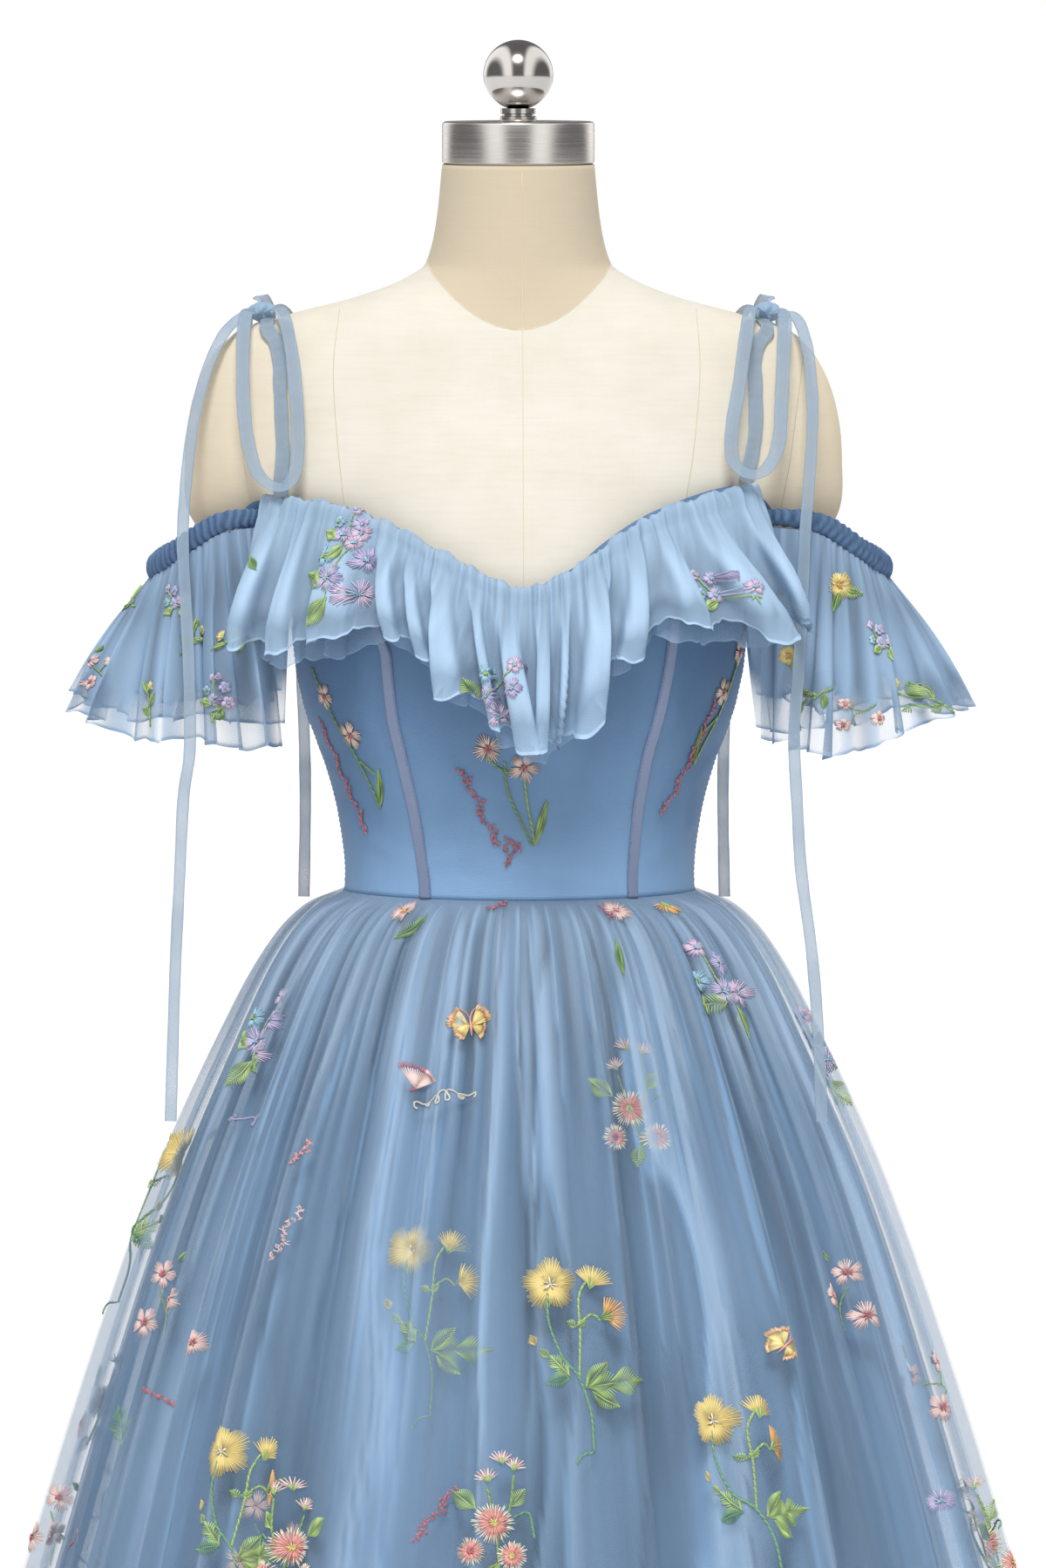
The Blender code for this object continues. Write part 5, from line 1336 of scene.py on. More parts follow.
def build_ties():
    """Straps, loops and tails of both shoulder bows."""
    for side, mirror in (("left", 1.0), ("right", -1.0)):
        build_knot(side, mirror)
    for node, route in STRAP_ROUTES.items():
        places = spline([(math.radians(angle), height, 0.0) for angle, height in route], STRAP_STEPS)
        centres = torso_point(places[:, 0], places[:, 1], np.full(STRAP_STEPS, STRAP_LIFT))
        facing = torso_normal(places[:, 0], places[:, 1])
        widths = ribbon_widths(STRAP_STEPS, STRAP_WIDTH, False, True)
        ribbon(node.replace("tie_", "ribbon_"), centres, facing, widths, [node])
    loops, tails = dict(LOOP_ROUTES), dict(TAIL_ROUTES)
    for routes, name in ((loops, "tie_loop_back"), (tails, "tie_tail_back")):
        across = 2.0 * SHOULDER_SHIFT
        routes[name + "_right"] = tuple((across - x, y, height) for x, y, height in routes[name + "_left"])
    for routes, width, both_ends in ((loops, BOW_WIDTH, True), (tails, TAIL_WIDTH, False)):
        for node, route in routes.items():
            mirror = 1.0 if node.endswith("left") else -1.0
            points = [np.array((x, y, WAIST_HEIGHT + height)) for x, y, height in route]
            points.insert(0, beside_knot(mirror, points[0]))
            if both_ends:
                points.append(beside_knot(mirror, points[-1]))
            centres = spline(points, BOW_STEPS)
            away = np.array([0.0, -1.0 if "front" in node else 1.0, 1.0])
            ribbon(node.replace("tie_", "ribbon_"), centres, np.repeat(away[None], BOW_STEPS, axis=0),
                   ribbon_widths(BOW_STEPS, width, True, both_ends), [node])


# Skirt


def skirt_outline(angle, drop, inset):
    """Points of the skirt's outline at a drop, moved in at right angles to its slope."""
    step = 0.002
    upper, lower = np.maximum(drop - step, 0.0), np.minimum(drop + step, SKIRT_LENGTH)
    half_width = SKIRT["half_width"](drop)
    slope = (SKIRT["half_width"](lower) - SKIRT["half_width"](upper)) / (lower - upper)
    slope = WAIST_LEAN + (slope - WAIST_LEAN) * smooth_step(0.0, 0.004, drop)
    across = 1.0 / np.sqrt(1.0 + slope * slope)
    width = half_width - inset * across
    depth = half_width * SKIRT["roundness"](drop) - inset * across
    height = WAIST_HEIGHT + WAIST_LAP - drop - inset * across * slope
    return np.stack([width * np.sin(angle), -depth * np.cos(angle), height], axis=-1)


def pleats(place, drop):
    """How doubled the tulle is over its gathers, and its painted light and shade: each fold has one crisp
    lapped edge with a painted highlight along it, and painted shade just before the next edge.
    """
    place, drop = np.broadcast_arrays(place, drop)
    doubled, tone = np.zeros(place.shape), np.zeros(place.shape)
    still = np.sin(np.pi * place)
    for count, seed, start, end in PLEAT_ROWS:
        grown = smooth_step(0.0, max(start, 0.004), drop)
        if end:
            grown = grown * (1.0 - smooth_step(0.4 * end, end, drop))
        drift = (0.30 * wobble(drop * 7.0 + 2.0 * place, seed) + 0.25 * wobble(place * 31.0, seed)) * still
        position = place * count + drift
        number = np.floor(position)
        part = position - number
        strength = 0.35 + 0.65 * (0.5 + 0.5 * np.sin(2.7 * number + seed)) ** 1.5
        facing = np.where(np.sin(1.7 * number + seed) > -0.2, part, 1.0 - part)
        edge = smooth_step(0.0, 0.05, facing) * np.exp(-10.0 * facing)
        hollow_shade = np.exp(-5.0 * (1.0 - facing))
        doubled += grown * strength * edge
        # Painted highlight along each lapped edge and painted shade just before the next one.
        tone += grown * strength * (2.30 * edge - 0.95 * hollow_shade + 0.06)
    return doubled, tone


def build_skirt():
    """Three skirt layers, each a front and a back panel, gathered into the waist, with painted light and
    shade on their folds.
    """
    layers = {}
    inset, outside = 0.0, 0.0
    for name, half_folds, fold_share, length, columns, rows, paint in SKIRT_LAYER_ROWS:
        drop = (length * np.linspace(0.0, 1.0, rows) ** 1.5)[:, None]
        for panel, start in (("front", -math.pi / 2.0), ("back", math.pi / 2.0)):
            place = np.linspace(0.0, 1.0, columns)[None, :]
            _, phase, wave = fold_wave(place * half_folds, half_folds)
            fold = SKIRT["fold"](drop)
            sway = np.sin(1.3 * place * half_folds + start) * np.sin(np.pi * place)
            angle = start + math.pi * place + FOLD_DRIFT * sway * drop / SKIRT_LENGTH
            depth = inset + fold * (2.0 * outside + fold_share * (1.0 - wave))
            turns = place * half_folds * 2.0 * np.pi
            fade_in, fade_out = smooth_step(0.0, 0.012, drop), 1.0 - smooth_step(0.05, 0.24, drop)
            gather = np.sin(turns * (80.0 / half_folds) / 2.0 + 2.6 * wobble(turns * 0.31, 1.0 + outside))
            gather = gather * fade_in * fade_out
            soft = wobble(turns * 0.9 + 2.4 * wobble(turns * 0.17, 4.0), 2.0 + outside)
            soft = soft * smooth_step(0.02, 0.2, drop)
            depth = depth - 0.0011 * gather - 0.0016 * soft
            points = skirt_outline(angle, drop, depth)
            points[..., 2] += 0.0035 * wobble(turns * 0.21, 6.0) * smooth_step(0.45, length, drop)
            flank = np.abs(np.sin(2.0 * np.pi * phase))
            lapped, tone = pleats(place, drop)
            grown = smooth_step(0.0, 0.05, drop)
            waist = 1.0 - smooth_step(0.0, 0.14, drop)
            cover = 0.08 + 0.20 * flank * grown + lapped + 0.8 * waist + 0.30 * gather + 0.12 * soft
            # Painted light and shade: lighter on the crests of the gathers and soft folds, darker in their
            # valleys, and darker towards the hem.
            tone = tone + 0.28 * gather + 0.15 * soft * grown - 0.16 * smooth_step(0.30, 0.58, drop)
            top_angle = np.broadcast_to(angle[:1], points[:1, :, 0].shape)
            seam = torso_point(top_angle, np.full(top_angle.shape, 0.0006),
                               np.full(top_angle.shape, EASE + BODICE_WALL + 0.0001 * (3.0 - outside)))
            points = np.concatenate([seam, points])
            cover, tone = (np.concatenate([values[:1], values]) for values in (cover, tone))
            piece = grid_piece(f"{name.replace('skirt_', 'skirt_cloth_')}_{panel}", points, PAINTS[paint],
                               0.0007 if paint == "lining" else 0.0, cover=cover, tone=tone)
            belongs(piece, [f"{name}_{panel}"])
            layers[name, panel] = piece
        inset += LAYER_STEP
        outside += fold_share
    return layers


# Embroidery: each motif is a list of strokes in its own plane, (points, radius, lift, floss)

# Stitches, by the thread's radius and how high it stands off the cloth
PETAL_STITCH = (0.00052, 0.0008)
HEART_STITCH = (0.00060, 0.0016)
LEAF_STITCH = (0.00052, 0.0007)
MIDRIB_STITCH = (0.00055, 0.0013)
KNOT_STITCH = (0.00044, 0.0011)
TENDRIL_STITCH = (0.00062, 0.0009)
WING_STITCH = (0.00068, 0.0009)
WING_RIM_STITCH = (0.00066, 0.0009)
FOLDED_RIM_STITCH = (0.00066, 0.0011)
BUTTERFLY_BODY_STITCH = (0.0009, 0.0012)
FOLDED_BODY_STITCH = (0.0010, 0.0014)
BUD_STITCH = (0.00070, 0.0009)
BUD_CUP_STITCH = (0.00060, 0.0015)
POMPOM_RADIUS = 0.00056
STEM_LIFT = 0.0008
THIN_STEM = (0.0024, 0.00045)
SATIN_PITCH = 0.00125
KNOT_PITCH = 0.0016
KNOT_REACH = 0.0015
ANY_ANGLE = (0.0, 6.28)
EMBROIDERY_SEED = 7
ORIGIN = (0.0, 0.0)


def turned(point, angle):
    """A point of the plane turned about the origin."""
    c, s = math.cos(angle), math.sin(angle)
    return (point[0] * c - point[1] * s, point[0] * s + point[1] * c)


def spoke(reach, angle):
    """The point of the plane at a distance and an angle from the origin."""
    return (reach * math.cos(angle), reach * math.sin(angle))


def flat_path(points, count):
    """A smooth curve in the plane, and the distance along it at each of its points."""
    path = spline([(u, v, 0.0) for u, v in points], count)[:, :2]
    distance = np.concatenate([[0.0], np.cumsum(np.linalg.norm(np.diff(path, axis=0), axis=-1))])
    return path, distance


def moved(strokes, at=ORIGIN, scale=1.0, turn=0.0, flip=False):
    """Strokes scaled, turned and moved within the plane."""
    result = []
    for points, radius, lift, floss in strokes:
        shifted = []
        for u, v in points:
            u, v = turned(((-u if flip else u) * scale, v * scale), turn)
            shifted.append((u + at[0], v + at[1]))
        result.append((shifted, radius, lift, floss))
    return result


def flower(rng, size, petals, floss, heart, count=8, spread=0.86, notch=0.16):
    """Petals of straight satin stitches fanned round a small heart of knots."""
    strokes = []
    start = rng.uniform(*ANY_ANGLE)
    for petal in range(petals):
        axis = start + 2.0 * math.pi * petal / petals
        for k in range(count):
            place = 2.0 * k / (count - 1) - 1.0
            angle = axis + place * spread * math.pi / petals
            tip = spoke(size * (1.0 - notch * place * place) * rng.uniform(0.90, 1.04), angle)
            root = spoke(size * rng.uniform(0.03, 0.12), angle)
            middle = ((tip[0] + root[0]) / 2.0, (tip[1] + root[1]) / 2.0)
            strokes.append(([root, middle, tip], *PETAL_STITCH, floss))
    for k in range(7):
        tip = spoke(size * 0.30 * rng.uniform(0.6, 1.1), start + k)
        strokes.append(([ORIGIN, tip], *HEART_STITCH, heart))
    return strokes


def leaf(length, width, floss, lobes=0, pairs=9):
    """A leaf of slanting satin stitches on both sides of its midrib, standing up from the origin."""
    strokes = [([ORIGIN, (0.0, length * 0.5), (0.0, length)], *MIDRIB_STITCH, floss)]
    pairs = max(pairs, int(length / SATIN_PITCH))
    for k in range(pairs):
        place = (k + 0.5) / pairs
        reach = width / 2.0 * math.sin(math.pi * place**0.85)
        if lobes:
            reach *= 0.45 + 0.75 * abs(math.sin(math.pi * (lobes * place + 0.1)))
        for side in (-1.0, 1.0):
            root = (0.0, length * place * 0.92)
            tip = (side * reach, length * (place * 0.92 + 0.10 + (0.06 if lobes else 0.0)))
            strokes.append(([root, tip], *LEAF_STITCH, floss))
    return strokes


def stem(points, floss, pitch=0.0021, radius=0.00074):
    """A rope of slanting stitches along a smooth curve."""
    path, distance = flat_path(points, 60)
    strokes = []
    number = max(int(distance[-1] / pitch), 1)
    for k in range(number):
        spots = np.array([k, k + 0.8, k + 1.6]) * distance[-1] / number
        piece = np.stack([np.interp(spots, distance, path[:, axis]) for axis in range(2)], axis=-1)
        along = unit(piece[2] - piece[0])
        aside = np.array([-along[1], along[0]]) * 0.00055
        slanted = [tuple(piece[j] + aside * (j - 1.0)) for j in range(3)]
        strokes.append((slanted, radius, STEM_LIFT, floss))
    return strokes


def knotted_sprig(rng, points, floss, width=0.0034):
    """Small knots clustered unevenly along a curve, like a spray of tiny buds."""
    path, distance = flat_path(points, 80)
    strokes = []
    number = int(distance[-1] / KNOT_PITCH)
    for k in range(number):
        where = distance[-1] * (k + 0.5) / number
        u, v = (np.interp(where, distance, path[:, axis]) for axis in range(2))
        cluster = math.sin(k * 1.9) * (0.2 + 0.8 * abs(math.sin(k * 0.31)))
        side = width * (cluster + 0.9 * math.sin(k * 0.55))
        for _ in range(3):
            du, dv = spoke(KNOT_REACH, rng.uniform(*ANY_ANGLE))
            cu, cv = u + side * 0.6 + rng.uniform(-0.0004, 0.0004), v + rng.uniform(-0.0007, 0.0007)
            knot = [(cu - du, cv - dv), (cu + dv * 0.4, cv - du * 0.4), (cu + du, cv + dv)]
            strokes.append((knot, *KNOT_STITCH, floss))
    return strokes


def tendril(points, floss):
    """One thin curling thread."""
    path, _ = flat_path(points, 8 * len(points))
    return [([tuple(point) for point in path], *TENDRIL_STITCH, floss)]


def curl(length, loops, floss):
    """A tendril with small even loops along its way."""
    points = []
    for k in range(loops * 8 + 1):
        turn = 2.0 * math.pi * k / 8.0
        along = length * k / (loops * 8.0)
        height = 0.0038 * (1.0 - math.cos(turn)) * (0.6 + 0.4 * math.sin(k))
        points.append((along - 0.0030 * math.sin(turn), height))
    return tendril(points, floss)


def pompom(rng, size, floss, heart, count=46):
    """A round head of dense stitches: a pale fringe, the head's colour and a small heart."""
    strokes = []
    rings = (("cream", 0.50, 1.03, count, 0.0009), (floss, 0.12, 0.80, count, 0.0014),
             (heart, 0.0, 0.28, count // 4, 0.0020))
    for ring_floss, inner, outer, number, lift in rings:
        for k in range(number):
            angle = 2.0 * math.pi * k / number + rng.uniform(-0.05, 0.05)
            far = size * outer * rng.uniform(0.86, 1.05)
            near = size * inner * rng.uniform(0.80, 1.10)
            strokes.append(([spoke(near, angle), spoke(far, angle)], POMPOM_RADIUS, lift, ring_floss))
    return strokes


def butterfly(rng, size, floss, edge):
    """Two pairs of fanned wings, a body and two feelers."""
    strokes = []
    for side in (-1.0, 1.0):
        for axis, reach, count in ((0.62, 1.0, 17), (-0.50, 0.70, 13)):
            for k in range(count):
                angle = axis + (2.0 * k / (count - 1) - 1.0) * 0.50
                far = size * reach * rng.uniform(0.92, 1.04)
                tip = (side * far * math.cos(angle), far * math.sin(angle))
                rim = (side * far * 0.74 * math.cos(angle), far * 0.74 * math.sin(angle))
                root = (side * size * 0.06, size * 0.03)
                strokes.append(([root, rim], *WING_STITCH, floss))
                strokes.append(([rim, tip], *WING_RIM_STITCH, edge if k % 2 else floss))
        feeler = [(0.0, size * 0.3), (side * size * 0.12, size * 0.6), (side * size * 0.3, size * 0.75)]
        strokes += tendril(feeler, edge)
    strokes.append(([(0.0, -size * 0.4), ORIGIN, (0.0, size * 0.35)], *BUTTERFLY_BODY_STITCH, edge))
    return strokes


def folded_butterfly(rng, size, floss, edge):
    """A butterfly at rest, its wings folded up into one rounded fan."""
    strokes = []
    for k in range(22):
        angle = 0.30 + 1.75 * k / 21.0
        far = size * (1.0 - 0.16 * math.sin(2.0 * angle)) * rng.uniform(0.96, 1.03)
        rim = spoke(far * 0.80, angle)
        strokes.append(([ORIGIN, rim], *WING_STITCH, floss))
        strokes.append(([rim, spoke(far, angle)], *FOLDED_RIM_STITCH, edge if angle > 1.1 else floss))
    body = [(-size * 0.16, -size * 0.05), ORIGIN, (size * 0.16, size * 0.02)]
    strokes.append((body, *FOLDED_BODY_STITCH, edge))
    return strokes


def half_bloom(rng, size, floss, count=12):
    """A bud opening sideways: a half fan of stitches on a small green cup."""
    strokes = []
    for k in range(count):
        angle = math.pi * (0.12 + 0.76 * k / (count - 1))
        strokes.append(([ORIGIN, spoke(size * rng.uniform(0.90, 1.05), angle)], *BUD_STITCH, floss))
    for angle in (0.7, 1.1, 1.5, 1.9, 2.4):
        strokes.append(([(0.0, -size * 0.2), spoke(size * 0.42, angle)], *BUD_CUP_STITCH, "lime"))
    return strokes


def yellow_plant(rng, flip=False, lively=True):
    """Two round yellow flowers, an orange bud, a forked stem with small buds and lobed leaves."""
    strokes = stem([(0.014, -0.070), (0.013, -0.045), (0.006, -0.024), (-0.004, -0.012), (-0.012, 0.010),
                    (-0.012, 0.028)], "sage")
    strokes += stem([(0.006, -0.024), (0.008, 0.004), (0.008, 0.026), (0.014, 0.038)], "lime")
    strokes += stem([(0.008, 0.010), (0.016, 0.016), (0.022, 0.012)], "lime")
    strokes += moved(flower(rng, 0.0170, 5, "yellow", "cream", 19, 0.98, 0.22), (-0.010, 0.034))
    strokes += moved(half_bloom(rng, 0.0130, "yellow", 19), (0.016, 0.034), 1.0, -0.35)
    strokes += moved(half_bloom(rng, 0.0130, "orange" if lively else "yellow", 19), (0.024, 0.014), 1.0,
                     -1.25)
    for at, turn, floss in (((-0.020, -0.004), 0.4, "yellow"), ((0.006, 0.008), 1.2, "lime"),
                            ((0.006, 0.008), -1.0, "lime"), ((-0.013, -0.012), 0.7, "lime")):
        strokes += moved(leaf(0.0075, 0.0060, floss, 0, 5), at, 1.0, turn)
    strokes += moved(leaf(0.022, 0.012, "lime", 0, 12), (0.010, -0.030), 1.0, -0.75)
    strokes += moved(leaf(0.035, 0.019, "lime", 2, 14), (0.010, -0.030), 1.0, -1.45)
    strokes += moved(leaf(0.020, 0.011, "lime", 0, 12), (0.014, -0.032), 1.0, -2.15)
    strokes += moved(leaf(0.018, 0.011, "lime", 2, 10), (0.000, -0.024), 1.0, 0.75)
    strokes += moved(leaf(0.016, 0.010, "sage", 0, 9), (0.000, -0.024), 1.0, 1.85)
    strokes += stem([(0.014, -0.070), (0.006, -0.072), (0.002, -0.078)], "sage")
    return moved(strokes, flip=flip)


def pink_plant(rng, flip=False):
    """Pale daisies with rose hearts on a thin stem."""
    strokes = stem([(0.010, -0.020), (0.004, -0.004), (-0.006, 0.010)], "leaf", *THIN_STEM)
    strokes += stem([(0.004, -0.004), (0.014, 0.004), (0.019, 0.010)], "leaf", *THIN_STEM)
    for size, heart, at in ((0.0096, "rose", (-0.007, 0.020)), (0.0108, "rose", (-0.010, -0.012)),
                            (0.0090, "pink", (0.019, 0.006))):
        strokes += moved(flower(rng, size, 5, "blush", heart, 8, 0.70), at)
    strokes += moved(leaf(0.010, 0.005, "leaf", 0, 5), (0.000, 0.030), 1.0, -0.7)
    return moved(strokes, flip=flip)


def peach_spray(rng, flip=False):
    """Two peach flowers on long green stems, as on the bodice's centre."""
    strokes = stem([(0.000, 0.026), (0.002, 0.006), (0.016, -0.028)], "leaf")
    strokes += stem([(0.012, 0.014), (0.014, -0.004), (0.018, -0.028)], "lime")
    strokes += stem([(-0.012, 0.030), (-0.004, 0.022), (0.004, 0.018)], "leaf")
    strokes += moved(flower(rng, 0.0108, 4, "peach", "rose", 7, 0.74), (-0.010, 0.034))
    strokes += moved(flower(rng, 0.0104, 5, "peach", "rose", 7, 0.66), (0.012, 0.022))
    strokes += moved(leaf(0.030, 0.0055, "lime", 0, 15), (0.018, -0.028), 1.0, -0.26)
    return moved(strokes, flip=flip)


def side_spray(rng, mirror):
    """Two peach flowers low on a long leaning stem, as on the bodice's sides."""
    routes = (((-0.020, 0.046), (-0.008, 0.020), (0.004, -0.008), (0.014, -0.042)),
              ((0.006, -0.012), (0.016, -0.020)))
    strokes = []
    for route in routes:
        strokes += stem([(u * mirror, v) for u, v in route], "leaf")
    for size, u, v in ((0.0086, -0.010, 0.028), (0.0092, 0.006, 0.004)):
        strokes += moved(flower(rng, size, 5, "peach", "rose", 7, 0.66), (u * mirror, v))
    strokes += moved(leaf(0.026, 0.0055, "leaf", 0, 12), (0.014 * mirror, -0.042), 1.0, -0.25 * mirror)
    return strokes


def lilac_spray(rng, flip=False):
    """Lilac and sky-blue blossoms with broad green leaves."""
    strokes = stem([(0.000, -0.014), (-0.002, 0.004), (0.004, 0.024)], "lime", *THIN_STEM)
    for at, size, floss in (((-0.003, -0.002), 0.0098, "lilac"), ((0.011, -0.010), 0.0100, "mauve"),
                            ((0.011, 0.012), 0.0086, "lilac"), ((-0.011, 0.012), 0.0074, "sky"),
                            ((0.004, 0.028), 0.0068, "mauve")):
        strokes += moved(flower(rng, size, 5, floss, "lime" if floss == "sky" else "sky", 7, 0.72), at)
    strokes += moved(leaf(0.021, 0.014, "lime", 0, 8), (-0.006, -0.008), 1.0, 1.15)
    strokes += moved(leaf(0.023, 0.015, "lime", 0, 8), (0.002, -0.014), 1.0, 2.6)
    return moved(strokes, flip=flip)


def aster_plant(rng, flip=False):
    """Pink round heads, small blush buds above them and green leaves beside."""
    strokes = stem([(0.004, -0.030), (0.002, -0.010), (-0.004, 0.022)], "leaf")
    strokes += stem([(0.004, -0.010), (0.010, 0.010), (0.012, 0.030)], "leaf")
    strokes += moved(pompom(rng, 0.0126, "pink", "yellow"), (0.000, 0.000))
    strokes += moved(pompom(rng, 0.0096, "pink", "yellow", 36), (0.012, -0.020))
    strokes += moved(pompom(rng, 0.0088, "pink", "rose", 32), (-0.013, -0.018))
    for at, turn in (((-0.004, 0.026), 0.3), ((0.012, 0.034), -0.3), ((0.004, 0.038), 0.0)):
        strokes += moved(half_bloom(rng, 0.0078, "blush", 9), at, 1.0, turn)
    strokes += stem([(0.012, 0.004), (0.022, 0.006), (0.026, -0.010)], "sage")
    leaves = ((0.020, 0.013, (-0.010, 0.008), 0.9), (0.015, 0.010, (0.010, 0.010), -0.7),
              (0.014, 0.010, (0.002, -0.024), 2.9))
    for length, width, at, turn in leaves:
        strokes += moved(leaf(length, width, "lime", 0, 8), at, 1.0, turn)
    return moved(strokes, flip=flip)


def green_sprig(rng):
    """A short stem with three leaves and a small yellow bud."""
    strokes = stem([(0.000, -0.016), (0.002, 0.000), (-0.002, 0.018)], "leaf")
    strokes += moved(leaf(0.015, 0.007, "leaf", 0, 8), (0.001, -0.006), 1.0, 0.9)
    strokes += moved(leaf(0.014, 0.007, "lime", 0, 8), (0.001, 0.000), 1.0, -0.9)
    strokes += moved(leaf(0.012, 0.006, "lime", 0, 8), (-0.002, 0.012), 1.0, 0.3)
    return strokes + moved(half_bloom(rng, 0.0060, "yellow", 8), (0.004, 0.014), 1.0, -0.6)


def yellow_bloom(rng):
    """One round yellow flower over two leaves."""
    strokes = moved(leaf(0.018, 0.010, "leaf", 0, 8), (0.0, -0.004), 1.0, 2.2)
    strokes += moved(leaf(0.016, 0.010, "lime", 0, 8), (0.0, -0.004), 1.0, -2.0)
    return strokes + flower(rng, 0.0110, 5, "yellow", "orange", 12, 1.0, 0.15)


# Motifs seen in the photograph: the pixel, the motif's maker, the maker's own values, and its placing
UNSEEDED_MAKERS = (leaf, curl)
BODICE_MOTIFS = (
    ((580, 920), peach_spray, (), {}),
    ((562, 940), knotted_sprig, (
        ((-0.019, 0.032), (-0.011, 0.021), (-0.006, 0.008), (-0.002, -0.002), (0.004, -0.013),
         (0.010, -0.020), (0.012, -0.030)), "rose", 0.0036), {}),
    ((572, 972), knotted_sprig, (((0.004, 0.006), (0.009, 0.002), (0.014, -0.002)), "rose"), {}),
)
SIDE_SPRAY_PIXELS = {"left": (398, 850), "right": (832, 800)}
SIDE_SPRIG_PIXELS = {"left": (396, 890), "right": (790, 868)}
SIDE_SPRIG_ROUTE = ((-0.009, 0.036), (-0.004, 0.010), (0.002, -0.012), (0.012, -0.036))
RUFFLE_MOTIFS = (
    ((382, 660), lilac_spray, (), {}),
    ((400, 612), lilac_spray, (), {"scale": 0.55}),
    ((566, 800), lilac_spray, (), {"scale": 0.85, "turn": -0.5}),
    ((820, 680), lilac_spray, (), {"scale": 0.55, "turn": 0.8}),
    ((300, 655), leaf, (0.012, 0.005, "leaf", 0, 5), {"turn": 0.8}),
)
SLEEVE_MOTIFS = {
    "left": (
        ((150, 690), green_sprig, (), {"scale": 0.7, "turn": 1.3}),
        ((218, 735), green_sprig, (), {"scale": 0.6, "turn": -0.5}),
        ((172, 812), green_sprig, (), {"scale": 0.8, "turn": 0.4}),
        ((250, 800), lilac_spray, (), {"scale": 0.45, "turn": 0.2}),
        ((200, 690), lilac_spray, (), {"scale": 0.40, "turn": 1.0}),
        ((112, 770), pink_plant, (), {"scale": 0.45, "turn": 0.6}),
        ((275, 735), green_sprig, (), {"scale": 0.7, "turn": 1.6}),
    ),
    "right": (
        ((962, 672), yellow_bloom, (), {"scale": 0.85, "turn": 0.3}),
        ((905, 752), yellow_bloom, (), {"scale": 0.60, "turn": 1.2}),
        ((1058, 805), green_sprig, (), {"scale": 0.85, "turn": 1.0}),
        ((940, 800), green_sprig, (), {"scale": 0.7, "turn": 2.2}),
        ((1010, 735), lilac_spray, (), {"scale": 0.42, "turn": 0.7}),
        ((985, 820), pink_plant, (), {"scale": 0.45, "turn": 2.0}),
    ),
}
SKIRT_MOTIFS = (
    ((465, 1046), flower, (0.0080, 5, "blush", "orange", 7), {}),
    ((452, 1078), leaf, (0.022, 0.008, "leaf", 0, 10), {"turn": -0.5}),
    ((570, 1040), knotted_sprig, (((-0.006, -0.002), (0.000, 0.000), (0.006, 0.004)), "rose"), {}),
    ((693, 1048), knotted_sprig, (((0.000, 0.006), (0.001, -0.004)), "rose"), {}),
    ((706, 1045), flower, (0.0080, 5, "blush", "pink", 7), {}),
    ((706, 1078), leaf, (0.024, 0.008, "leaf", 0, 11), {"turn": 3.0}),
    ((760, 1038), half_bloom, (0.0080, "orange"), {"turn": 2.8}),
    ((540, 1178), butterfly, (0.0150, "yellow", "pink"), {"turn": 0.2}),
    ((476, 1250), folded_butterfly, (0.0165, "blush", "rose"), {"turn": 0.15}),
    ((505, 1272), curl, (0.036, 5, "cream"), {"at": (-0.016, 0.0), "turn": 0.25}),
    ((300, 1192), lilac_spray, (), {}),
    ((296, 1232), leaf, (0.022, 0.015, "leaf", 2, 9), {"turn": 0.9}),
    ((275, 1288), curl, (0.030, 3, "lilac"), {"at": (-0.014, 0.0)}),
    ((346, 1322), knotted_sprig, (((0.002, 0.008), (-0.002, -0.008)), "pink"), {}),
    ((328, 1415), knotted_sprig, (((0.004, 0.018), (0.000, 0.000), (-0.003, -0.018)), "blush"), {}),
    ((832, 1132), lilac_spray, (), {"turn": 0.4}),
    ((968, 1238), leaf, (0.020, 0.012, "leaf", 2, 8), {"turn": 0.4}),
    ((188, 1500), pink_plant, (), {}),
    ((222, 1540), flower, (0.0085, 5, "blush", "rose"), {}),
    ((186, 1604), knotted_sprig, (((-0.010, 0.003), (0.000, 0.000), (0.010, -0.003)), "rose", 0.0016), {}),
    ((965, 1495), pink_plant, (True,), {"scale": 0.9}),
    ((900, 1545), butterfly, (0.0125, "yellow", "pink"), {"turn": -0.8}),
    ((1075, 1590), pink_plant, (), {"scale": 0.9, "turn": 0.6}),
    ((652, 1536), yellow_plant, (), {}),
    ((846, 1690), yellow_plant, (), {}),
    ((262, 1730), yellow_plant, (), {}),
    ((1078, 1722), flower, (0.0075, 5, "lilac", "sky", 7), {}),
    ((566, 1748), aster_plant, (), {}),
    ((336, 1776), aster_plant, (True,), {"scale": 0.95}),
    ((500, 1745), knotted_sprig, (((-0.012, -0.014), (-0.002, 0.002), (0.010, 0.022)), "rose"), {}),
)
UNDER_MOTIFS = (
    ((482, 1496), yellow_plant, (False, False), {}),
    ((722, 1272), aster_plant, (), {}),
    ((410, 1120), knotted_sprig, (((0.006, 0.014), (-0.004, -0.012)), "rose"), {}),
    ((250, 1190), leaf, (0.026, 0.018, "sage", 2, 9), {"turn": -0.6}),
    ((140, 1660), leaf, (0.026, 0.018, "sage", 3, 9), {"turn": 0.5}),
    ((300, 1770), pink_plant, (), {"scale": 1.1}),
)

